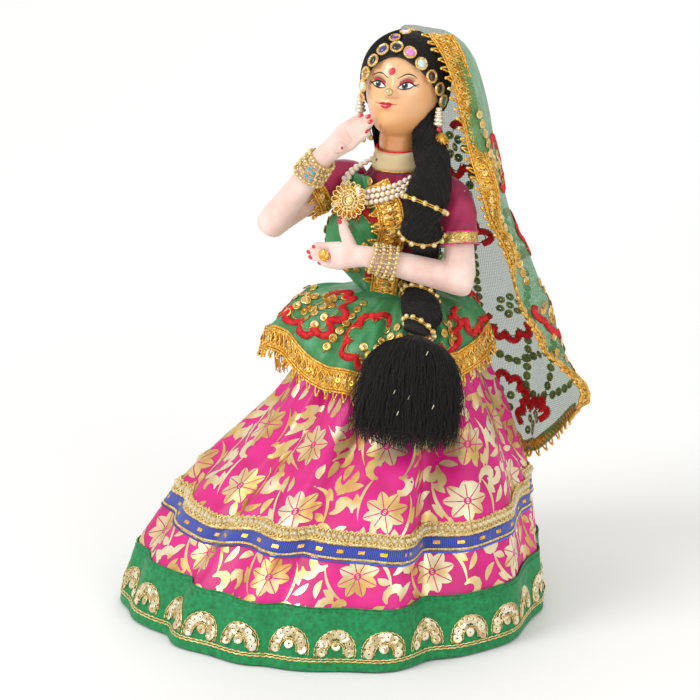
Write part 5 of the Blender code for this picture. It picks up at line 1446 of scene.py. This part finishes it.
def makeArm(name, settings):
    s, e, w, t = (np.array(settings[k]) for k in ("shoulder", "elbow", "wrist", "tips"))
    up, fore = unit(e - s), unit(w - e)
    upper, lower = ("upper_l", "lower_l") if name == "left" else ("upper_r", "lower_r")
    path = [s - up * 4, s + up * 2, s + (e - s) * 0.5, e - up * 6.0, e - up * 1.5 + fore * 0.4, e + fore * 1.5, e + fore * 7, e + (w - e) * 0.5,
            w - fore * 3, w + fore * 1.5]
    radii = [6.2, 7.9, 7.5, 7.6, 8.0, 7.9, 7.5, 6.9, 5.6, 5.2]
    sleeveCloth = makePiece("arm_" + name, [shapeTube(path[:5] + [e + fore * 0.5], radii[:5] + [6.0], count=40),
                                            shapeTube([e - fore * 6.0, e - fore * 3.5] + path[5:], [5.4, 7.5] + radii[5:], count=60)], mats["stocking"])
    melt(sleeveCloth, 0.9, 6)
    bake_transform(sleeveCloth)
    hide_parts("upper_arm_" + name, "forearm_" + name)
    # hand: palm, four fingers sewn side by side, thumb
    along = unit(t - w)
    reach = np.linalg.norm(t - w)
    spread = unit(np.array(settings["spread"]) - along * np.dot(np.array(settings["spread"]), along))
    out = unit(np.cross(along, spread))
    out = out * np.sign(np.dot(out, facingView))
    parts = [shapeTube([w - fore * 6, w, w + along * reach * 0.2, w + along * reach * 0.42, w + along * reach * 0.56],
                       [5.3, 5.2, 5.8, 7.0, 6.4], flat=[1.0, 0.92, 0.72, 0.55, 0.5], ref=tuple(out), count=40)]
    nails = []
    for k, (side, length) in enumerate(((-1.5, 0.90), (-0.5, 1.0), (0.5, 0.98), (1.5, 0.84))):
        base = w + along * reach * 0.42 + spread * side * 3.3
        tip = w + along * reach * length + spread * side * 2.7 - out * 2.2
        mid = (base + tip) / 2 + out * 0.9
        parts.append(shapeTube([base, mid, tip - (tip - mid) * 0.15, tip], [2.5, 2.3, 2.0, 1.2], flat=0.92, ref=tuple(out), count=26, sides=16))
        way = unit(tip - mid)
        nails.append((tip - way * 1.0 + out * 1.55, way, out))
    th = np.array(settings["thumb"])
    base = w + along * reach * 0.22
    tip = base + th
    parts.append(shapeTube([base, base + th * 0.35, base + th * 0.7 + out * 0.6, tip], [3.9, 3.3, 2.7, 1.6], ref=tuple(out), count=26, sides=16))
    nails.append((tip - unit(th) * 0.9 + out * 1.9, unit(th), out))
    hand = makePiece("hand_" + name, parts, mats["stocking"])
    melt(hand, 0.5, 3)
    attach(hand, lower)
    q = np.linspace(-1, 1, 9)
    ball = turned(np.stack([np.cos(q * np.pi / 2), np.sin(q * np.pi / 2)], -1), 12)
    shapes = []
    for at, way, outward in nails:
        axes = np.stack([way * 1.7, np.cross(outward, way) * 1.15, outward * 0.5])
        shapes.append(scatter(ball, [at], axes[None], 1.0))
    nail = makePiece("nails_" + name, shapes, mats["nail"])
    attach(nail, lower)
    if name == "left":
        ring = turned([(2.2, -0.3), (2.7, 0.2), (2.2, 0.7), (1.5, 0.95), (0.0, 1.05)], 18)
        at = w + along * reach * 0.66 + out * 3.2 - spread * 1.0
        jewel = makePiece("fingerRing", [scatter(ring, [at], np.stack([along, np.cross(out, along), out])[None], 1.15),
                                         scatter(ring, [at + out * 0.8], np.stack([along, np.cross(out, along), out])[None], 0.6)], mats["gold"])
        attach(jewel, lower)
    # sleeve and its band: gold brocade with pink cord edges on her left arm; on her right a rust-brown band under gold
    # lace, the rust painted shade for lace in shadow
    a0, a1 = settings["sleeve"]
    side = unit(np.cross(up, (0, 0, 1.0)))
    front = np.cross(up, side)
    q = np.linspace(0, 2 * np.pi, 72, endpoint=False)

    def tube(low, high, r, rows, wrinkle=0.0):
        k = np.linspace(0, 1, rows)[:, None]
        d = low + (high - low) * k
        rr = r + wrinkle * (np.sin(3 * q + 0.5 * d) + 0.6 * np.sin(7 * q - 0.4 * d)) + 0.5 * smooth01(k, 0.6, 1)
        return s + up * d[..., None] + rr[..., None] * (side * np.cos(q)[:, None] + front * np.sin(q)[:, None])

    # the sleeve's head runs in to the blouse
    inward = np.array([16.0, 32.0, 212.0]) - s
    k = np.linspace(0, 1, 26)[:, None, None]
    body = tube(a0, a1, 9.0, 26, 0.28)
    dome = np.sqrt(np.clip(1 - (1 - np.clip(k / 0.42, 0, 1)) ** 2, 0.0004, 1))
    axisLine = s + up * (a0 + (a1 - a0) * k)
    body = axisLine + (body - axisLine) * dome
    body = body + inward * 0.16 * (1 - smooth01(k, 0.0, 0.55)) * np.array([1, 1, 0.2])
    sleeve = makePiece("sleeve_" + name + "Cloth", grid(body, wrap=True), mats["maroon"], closed=False)
    thicken(sleeve, 0.5)
    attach(sleeve, upper)
    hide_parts("sleeve_" + name)
    band = tube(a1 + 0.2, a1 + 6.4, 9.55, 8)
    edges = [strands(np.concatenate([r, r[:1]]), 0.3, 4) for r in (tube(a1 + 0.2, a1 + 6.4, 9.75, 2))]
    if name == "right":
        # the band under this lace is rust-brown: painted shade for the lace in shadow
        trim, looks = laceStrip(np.concatenate([tube(a1, a1 + 1, 9.7, 2)[0], tube(a1, a1 + 1, 9.7, 2)[0][:1]]),
                                np.repeat(up[None], 73, 0), unit(np.concatenate([tube(a1, a1 + 1, 9.7, 2)[0], tube(a1, a1 + 1, 9.7, 2)[0][:1]]) - s - up * a1), 6.6, pitch=5.0, loops=1)
        cuff = makePiece("sleeveBand_" + name, [grid(band, wrap=True)] + trim, [mats["lining"]] + looks, closed=False)
    else:
        cuff = makePiece("sleeveBand_" + name, [grid(band, wrap=True)] + edges, [mats["brocade"]] + [mats["pinkCord"]] * 2, closed=False)
    thicken(cuff, 0.25)
    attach(cuff, upper)
    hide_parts("sleeve_band_" + name)
    # rows of small gold beads round the wrist, joined by short bars
    rng = np.random.default_rng(5)
    count, start, step = settings["bangles"]
    nodes = 4 if name == "left" else 3
    ref = unit(np.cross(fore, facingView))
    ref2 = np.cross(fore, ref)
    for i in range(count):
        d = start + step * i
        c = w - fore * d
        r = 5.9 + 0.045 * d * 2 + 0.95
        n = 20
        q2 = np.linspace(0, 2 * np.pi, n, endpoint=False) + 0.12 * i
        ring = c + r * (np.cos(q2)[:, None] * ref + np.sin(q2)[:, None] * ref2) + fore * 0.35 * np.sin(q2 * 2 + i)[:, None]
        parts, looks = [scatter(roundBead, ring, np.eye(3)[None], 1.12)], [mats["paleGold"]]
        fine = np.linspace(0, 2 * np.pi, 80, endpoint=False)
        parts.append(strands(c + (r - 0.3) * (np.cos(fine)[:, None] * ref + np.sin(fine)[:, None] * ref2), 0.28, 5, loop=True))
        looks.append(mats["silverGold"])
        if i < count - 1:
            nxt = ring - fore * step
            parts.append(strands(np.stack([ring[::2], (ring[::2] + nxt[::2]) / 2 + unit(ring[::2] - c) * 0.3, nxt[::2]], 1), 0.3, 4))
            looks.append(mats["silverGold"])
            parts.append(scatter(roundBead, ((ring + nxt) / 2)[1::2], np.eye(3)[None], 0.7))
            looks.append(mats["paleGold"])
        if name == "right":
            if 0 < i < 3:
                show = (ring - c) @ facingView > r * 0.80
                parts.append(scatter(roundBead, ring[show] + unit(ring[show] - c) * 1.0, np.eye(3)[None], 1.0))
                looks.append(mats["turquoise"])
        bangle = makePiece("bangle_%s%d" % (name, i + 1), parts, looks)
        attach(bangle, lower)
        if i < nodes:
            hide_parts("bangle_%s_%d" % (name, i + 1))


mats["pinkCord"] = silkThread("cordTwistedPink", "#B5124F", "#E0327E", "#F06AA6")
mats["turquoise"] = stone("beadTurquoise", "#3FA9C4", 0.2)
print("body")
makeTorso()
for armName, armSettings in arms.items():
    makeArm(armName, armSettings)


# ---------- plait over her left shoulder, and the loose wool tassel below its tie
plait = dict(
    upper=[(28.5, 40, 259.0), (33.5, 33, 247.0), (37.5, 27, 236.5), (42, 20.5, 229), (47.2, 9.0, 217.5), (46.8, 6.0, 206.0), (45.0, 7.6, 198.5), (40, 18, 188.5), (38.7, 20.6, 177)],
    upperWide=[5.0, 6.8, 7.8, 9.4, 10.4, 9.6, 9.8, 7.4, 5.6],
    lower=[(39.2, 19.6, 173.5), (44.5, 9.5, 164.5), (48.8, 0.2, 158), (50.3, -5.6, 152.3)], lowerWide=[5.5, 9.2, 10.0, 6.0],
    hairs=2600, tail=4300, seed=8)


def plaitSkin(path, wide, lobes, flat=0.68):
    t = np.linspace(0, 1, len(path))
    n = 110
    tt = np.linspace(0, 1, n)
    p = np.stack([curve(tt, np.stack([t, np.array(path)[:, k]], -1)) for k in range(3)], -1)
    r = curve(tt, np.stack([t, wide], -1)) * (0.84 + 0.16 * np.abs(np.cos(np.pi * lobes * tt)))
    d = unit(np.gradient(p, axis=0))
    a = unit(np.cross(d, facingView))
    b = np.cross(d, a)
    q = np.linspace(0, 2 * np.pi, 40, endpoint=False)
    # each lobe leans to alternate sides, with a soft groove between
    sway = 1.2 * np.sin(np.pi * lobes * tt)
    ring = p[:, None] + a[:, None] * (r[:, None, None] * np.cos(q)[:, None] + sway[:, None, None]) + b[:, None] * (flat * r[:, None, None] * np.sin(q)[:, None])
    return ring, p, d, a, b, r


def makePlait():
    rng = np.random.default_rng(plait["seed"])
    made = []
    for name, node, path, wide, lobes in (("plaitUpper", "braid_upper", plait["upper"], plait["upperWide"], 4.0),
                                          ("plaitLower", "braid_lower", plait["lower"], plait["lowerWide"], 2.0)):
        ring, p, d, a, b, r = plaitSkin(path, wide, lobes)
        n = plait["hairs"] if name == "plaitUpper" else plait["hairs"] // 2
        i = rng.integers(2, len(p) - 14, n)
        q = rng.uniform(0, 2 * np.pi, n)
        k = np.arange(8)
        ii = np.minimum(i[:, None] + k, len(p) - 1)
        turn = q[:, None] + 0.9 * np.sign(np.sin(np.pi * lobes * i / len(p)))[:, None] * k / 8 * 0.8
        lift = (0.1 + rng.uniform(0, 0.9, (n, 1)) * np.sin(np.pi * k / 7)) + rng.exponential(0.25, (n, 1)) * (k / 7) ** 2
        sway = 1.2 * np.sin(np.pi * lobes * ii / len(p))
        ways = p[ii] + a[ii] * ((r[ii] + lift) * np.cos(turn) + sway)[..., None] + b[ii] * (0.68 * r[ii] + lift)[..., None] * np.sin(turn)[..., None]
        ob = makePiece(name, [grid(ring, wrap=True, caps=True), strands(ways, 0.11, 3)], [mats["wool"], mats["wool"]], closed=False)
        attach(ob, "stand")
        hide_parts(node)
        made.append(ob)
        # bead chains wrapped round the plait
        places = (0.55, 0.76) if name == "plaitUpper" else (0.30, 0.90)
        parts, looks = [], []
        for place in places:
            j = int(place * (len(p) - 1))
            q = np.linspace(0, 2 * np.pi, 60, endpoint=False)
            slant = 2.6 * np.cos(q + 0.4)
            hoop = p[j] + a[j] * ((r[j] + 0.8) * np.cos(q)[:, None] + sway[0][0] * 0) + b[j] * ((0.68 * r[j] + 0.8) * np.sin(q))[:, None] + d[j] * -slant[:, None]
            hoop = hoop + a[j] * 1.2 * np.sin(np.pi * lobes * j / len(p))
            for h in (-0.5, 0.5):
                parts.append(strands(hoop + d[j] * h, 0.32, 4, loop=True))
                looks.append(mats["gold"])
            out = unit(hoop - p[j])
            parts.append(scatter(roundBead, (hoop + out * 0.6)[::5], np.eye(3)[None], 1.5))
            looks.append(mats["paleGold"])
            parts.append(scatter(discStone, (hoop + out * 0.2)[::5], facing(out[::5]), 0.55))
            looks.append(mats["amberStone"])
        chain = makePiece(name + "Chains", parts, looks, closed=False)
        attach(chain, "stand")
    return made


def makeTassel():
    # thousands of crimped wool threads fanning out from the tie over the skirt
    rng = np.random.default_rng(plait["seed"] + 1)
    top, low = np.array([51.0, -7.5, 150.5]), np.array([62.5, -36.0, 104.5])
    down = unit(low - top)
    side = unit(np.cross(down, facingView))
    out = unit(np.cross(side, down))
    out = out * np.sign(out @ facingView)
    n = plait["tail"]
    u = rng.uniform(-1, 1, n)
    v = rng.uniform(-1, 1, n)
    keep = np.sqrt(np.clip(1 - u ** 2, 0, 1))
    v = v * keep
    k = np.linspace(0, 1, 8)
    length = (np.linalg.norm(low - top)) * (0.90 + 0.08 * keep) * rng.uniform(0.66, 1.08, n)
    wild = (rng.random(n) < 0.3)[:, None] * rng.normal(0, 3.8, (n, 1))
    spreadBy = table(k, [(0, 0.16), (0.12, 0.58), (0.35, 0.90), (0.65, 1.0), (0.85, 1.02), (1.0, 0.98)])
    deep = table(k, [(0, 0.30), (0.15, 0.85), (0.4, 1.0), (1, 0.75)])
    crimp = 1.5 * np.sin(k[None] * rng.uniform(14, 26, (n, 1)) + rng.uniform(0, 6, (n, 1))) * k[None]
    crimp2 = 1.0 * np.sin(k[None] * rng.uniform(14, 26, (n, 1)) + rng.uniform(0, 6, (n, 1))) * k[None]
    x = u[:, None] * spreadBy[None] * 25.0 + crimp + rng.normal(0, 1.6, (n, 1)) * k + wild * k ** 2
    y = v[:, None] * deep[None] * 9.0 + crimp2
    path = top + down * (k[None] * length[:, None])[..., None] + side * x[..., None] + out * (y + 1.5 * np.sin(np.pi * k))[..., None]
    radii = np.full((n, 8), 0.15) * (1 - 0.45 * k)
    parts, looks = [strands(path, radii, 3)], [mats["wool"]]
    # a solid heart so that the skirt doesn't show through
    rows = np.linspace(0, 0.92, 40)
    q = np.linspace(0, 2 * np.pi, 48, endpoint=False)
    wideAt = table(rows, [(0, 0.16), (0.12, 0.50), (0.35, 0.82), (0.65, 0.94), (0.85, 0.93), (0.92, 0.84)]) * 22.0
    deepAt = table(rows, [(0, 0.3), (0.15, 0.8), (0.4, 1.0), (0.92, 0.5)]) * 6.0
    heart = top + down * (rows * 54)[:, None, None] + side * (wideAt[:, None, None] * np.cos(q)[:, None]) \
        + out * (deepAt[:, None, None] * np.sin(q)[:, None] + 1.5 * np.sin(np.pi * rows)[:, None, None])
    parts.append(grid(heart, wrap=True, caps=True))
    looks.append(mats["wool"])
    speck = rng.uniform(0, 1, (5, 3))
    at = top + down * (8 + 40 * speck[:, :1]) + side * ((speck[:, 1:2] - 0.5) * 34) + out * 8.5
    twist = np.linspace(0, 1, 5)
    bits = at[:, None] + (side * 0.3 + down) * (twist * 2.2)[:, None] + out * 0.3 * np.sin(twist * 3)[:, None]
    parts.append(strands(bits, 0.22, 4))
    looks.append(mats["cottonFleck"])
    ob = makePiece("woolTassel", parts, looks, closed=False)
    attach(ob, "tassel")
    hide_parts("braid_tassel")


mats["amberStone"] = stone("glassCutAmber2", "#D08A3A")
mats["cottonFleck"] = newMaterial("cottonFleckCream", "#E9DDC6", 0.9)[0]
print("plait and tassel")
makePlait()
makeTassel()


# ---------- necklaces
def makeNecklaces():
    q = np.linspace(-np.pi, np.pi, 150, endpoint=False)
    lowZ, highZ = 223.4, 233.2

    def neckRing(z, r):
        k = (z - lowZ) / (highZ - lowZ)
        return np.stack([16 + r * np.cos(q), 32 + r * np.sin(q) * 1.0, z + 0 * q], -1) + np.array([0, 0, 0.6]) * np.sin(q)[:, None] * k

    z = np.linspace(lowZ, highZ, 6)
    band = np.stack([neckRing(h, 13.2 - 2.1 * (h - lowZ) / (highZ - lowZ) + 0.35 * np.sin(np.pi * (h - lowZ) / (highZ - lowZ))) for h in z])
    ways = band.transpose(1, 0, 2) + unit(band.transpose(1, 0, 2) - np.array([16, 32, 226.0])) * np.array([1, 1, 0]) * 0.25
    parts = [grid(band, wrap=True), strands(ways, 0.24, 4), strands(band[-1] + (0, 0, 0.2), 0.5, 5, loop=True), strands(band[0], 0.5, 5, loop=True)]
    choker = makePiece("chokerBand", parts, [mats["cream"], mats["cream"], mats["redSilk"], mats["gold"]], closed=False)
    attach(choker, "stand")
    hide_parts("choker")
    # three strands each side, from the neck to the pendant
    pendantAt = np.array([3.5, 6.0, 209.5])
    parts, looks = [], []
    for side in (-1, 1):
        for row in (-1, 0, 1):
            t = np.linspace(0, 1, 40)
            if side > 0:
                w = np.radians(table(t, [(0, -128), (0.3, -104), (0.7, -68), (1, -26)]))
                z = table(t, [(0, 209), (0.3, 210.5), (0.7, 216.0), (1, 223.5)]) + row * 2.9 * (0.35 + 0.65 * np.sin(np.pi * np.clip(t * 0.8 + 0.15, 0, 1)))
                p = onTorso(w, np.minimum(z, 221), 8.2 - 2.0 * t)
                p[:, 2] = z
            else:
                w = np.radians(table(t, [(0, -130), (0.5, -146), (1, -168)]))
                z = table(t, [(0, 211), (0.5, 218), (1, 225.5)])
                p = onTorso(w, np.minimum(z, 221), table(t, [(0, 8.6), (0.35, 10.6), (0.7, 8.4), (1, 0.2)]))
                p[:, 2] = z
                p = p + np.array([0.9, -0.4, 0.35]) * row * (0.9 + 1.5 * np.sin(np.pi * t))[:, None]
            blendIn = (1 - smooth01(t, 0, 0.25))[:, None]
            p = p * (1 - blendIn) + (pendantAt + np.array([side * 5.0 - row * 0.3, 1.0, 5.0 + row * 1.6])) * blendIn
            run = np.concatenate([[0], np.cumsum(np.linalg.norm(np.diff(p, axis=0), axis=1))])
            at = np.arange(1.2, run[-1], 2.9)
            c = np.stack([np.interp(at, run, p[:, k]) for k in range(3)], -1)
            parts.append(scatter(pearlShape, c, np.eye(3)[None], 1.38))
            looks.append(mats["pearl"])
            c = np.stack([np.interp(at + 1.45, run, p[:, k]) for k in range(3)], -1)
            parts.append(scatter(roundBead, c, np.eye(3)[None], 0.8))
            looks.append(mats["gold"])
            parts.append(strands(p, 0.3, 4))
            looks.append(mats["gold"])
    pearls = makePiece("pearlStrands", parts, looks)
    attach(pearls, "stand")
    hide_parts("pearl_strand_1", "pearl_strand_2")
    # pendant: a disc of fine wire spokes with a scalloped rim
    out = unit(np.array([0.15, -0.92, 0.30]))
    axes = facing(out[None])[0]
    parts, looks = [], []
    n = 18
    q = np.linspace(0, 2 * np.pi, n, endpoint=False)

    def disc(r, a, lift=0.0):
        r, a, lift = np.broadcast_arrays(r, a, lift)
        return pendantAt + axes[0] * (r * np.cos(a))[..., None] + axes[1] * (r * np.sin(a))[..., None] + axes[2] * lift[..., None]

    plate = turned([(0.0, 0.0), (4.6, 0.1), (4.8, 0.8), (4.2, 1.2), (2.0, 1.6), (0, 1.7)], 28)
    parts.append(scatter((plate[0] * (1.25, 1.25, 0.55), plate[1], None), [pendantAt + axes[2] * 0.3], axes[None]))
    looks.append(mats["paleGold"])
    t = np.linspace(0, 2 * np.pi, 20, endpoint=False)
    petal = np.stack([disc(7.4 + 2.0 * np.cos(t), a + 0.155 * np.sin(t) * (1.15 - 0.3 * np.cos(t)), 0.9) for a in q])
    for one in petal:
        parts.append(strands(one, 0.36, 5, loop=True))
        looks.append(mats["paleGold"])
    spokes = np.stack([disc(np.array([4.2, 6.5, 9.0]), a + 0 * np.zeros(3), np.array([1.3, 1.1, 0.9])) for a in np.linspace(0, 2 * np.pi, 54, endpoint=False)])
    parts.append(strands(spokes, 0.24, 4))
    looks.append(mats["gold"])
    for r, lift in ((5.2, 1.25), (3.6, 1.7), (2.2, 1.9)):
        parts.append(strands(disc(r, np.linspace(0, 2 * np.pi, 40, endpoint=False), lift), 0.42, 5, loop=True))
        looks.append(mats["paleGold"])
    parts.append(scatter(roundBead, disc(4.4, np.linspace(0, 2 * np.pi, 16, endpoint=False), 1.5), np.eye(3)[None], 0.6))
    looks.append(mats["paleGold"])
    pendant = makePiece("pendantFlower", parts, looks)
    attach(pendant, "stand")
    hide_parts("pendant")
    at = np.array([2.6, 4.0, 197.5])
    parts = [scatter(pearlShape, [at, at + (0, 0.3, 3.4)], np.eye(3)[None], [1.7, 1.3])]
    looks = [mats["pearl"]]
    parts.append(strands(np.array([at + (0, 0.4, 4.6), at + (0, 0.2, 1), at - (0, 0, 2.4)]), 0.35, 5))
    looks.append(mats["gold"])
    parts.append(scatter(roundBead, [at - (0, 0, 2.3), at + (0, 0.2, 1.7)], np.eye(3)[None], 0.75))
    looks.append(mats["gold"])
    drop = makePiece("pendantDrop", parts, looks)
    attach(drop, "stand")
    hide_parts("pendant_drop")


q = np.linspace(-1, 1, 9)
pearlShape = turned(np.stack([np.cos(q * np.pi / 2), np.sin(q * np.pi / 2)], -1), 12)
mats["pearl"] = newMaterial("pearlLacqueredCream", "#F8EEDF", 0.2, Coat_Weight=1.0, Sheen_Weight=0.3)[0]
mats["cream"] = newMaterial("threadCreamGold", "#F6E3B4", 0.4, Metallic=0.2)[0]
print("necklaces")
makeNecklaces()


# ---------- board, rod and wires keep the CAD's shapes
def finishHardware():
    wood, tree, shader = newMaterial("plywoodSawnPlain", "#B98A55", 0.7)
    coord = addNode(tree, "ShaderNodeTexCoord")
    rings = addNode(tree, "ShaderNodeTexWave", {"Vector": (coord, "Object"), "Scale": 40.0, "Distortion": 6.0, "Detail": 3.0})
    tint = ramp(tree, (rings, 1), [(0.2, "#9A6E3E"), (0.6, "#BE9059"), (0.9, "#D0A671")])
    tree.links.new(tint.outputs[0], shader.inputs["Base Color"])
    addBump(tree, shader, (rings, 1), 0.2, 0.3)
    wire, tree, shader = newMaterial("wireDrawnGalvanised", "#B7B5AE", 0.4, Metallic=1.0)
    coord = addNode(tree, "ShaderNodeTexCoord")
    streak = addNode(tree, "ShaderNodeTexNoise", {"Vector": (coord, "Object"), "Scale": 800.0})
    rough = addNode(tree, "ShaderNodeMapRange", {"Value": (streak, 0), "To Min": 0.3, "To Max": 0.55})
    tree.links.new(rough.outputs[0], shader.inputs["Roughness"])
    for node, mat in (("base_board", wood), ("support_rod", wood), ("upper_wire_left", wire), ("upper_wire_right", wire),
                      ("lower_wire_left", wire), ("lower_wire_right", wire)):
        ob = bpy.data.objects[node]
        ob.data.materials.clear()
        ob.data.materials.append(mat)


finishHardware()

# ---------- floor and light
def makeStage():
    mat, tree, shader = newMaterial("paperFloorWhite", "#F4F4F2", 0.9)
    coord = addNode(tree, "ShaderNodeTexCoord")
    grain = addNode(tree, "ShaderNodeTexNoise", {"Vector": (coord, "Object"), "Scale": 40.0})
    addBump(tree, shader, (grain, 0), 0.02, 0.5)
    x = np.linspace(-9000, 9000, 12)
    p = np.stack(np.broadcast_arrays(x[None], x[:, None], 0.0), -1)
    floor = makePiece("studioFloor", grid(p), mat, closed=False)
    world = bpy.data.worlds.new("studioWorld")
    world.use_nodes = True
    world.node_tree.nodes["Background"].inputs[0].default_value = (1.0, 1.0, 1.0, 1.0)
    world.node_tree.nodes["Background"].inputs[1].default_value = 0.70
    bpy.context.scene.world = world
    for name, at, power, size, colour in (("keyLight", (-0.9, -1.9, 1.7), 34.0, 1.3, "#FFFFFF"),
                                          ("fillLight", (2.2, -0.9, 1.2), 14.0, 1.6, "#FFFFFF"),
                                          ("rimLight", (-0.6, 1.7, 1.5), 10.0, 1.2, "#FFFFFF")):
        lamp = bpy.data.lights.new(name, "AREA")
        lamp.energy = power
        lamp.size = size
        lamp.color = toLinear(colour)[:3]
        ob = bpy.data.objects.new(name, lamp)
        ob.location = at
        d = np.array([0.0, 0.0, 0.13]) - np.array(at)
        ob.rotation_euler = (math.atan2(math.hypot(d[0], d[1]), -d[2]), 0.0, math.atan2(d[1], d[0]) - math.pi / 2)
        bpy.context.scene.collection.objects.link(ob)


makeStage()
bpy.context.scene.view_settings.view_transform = "Standard"
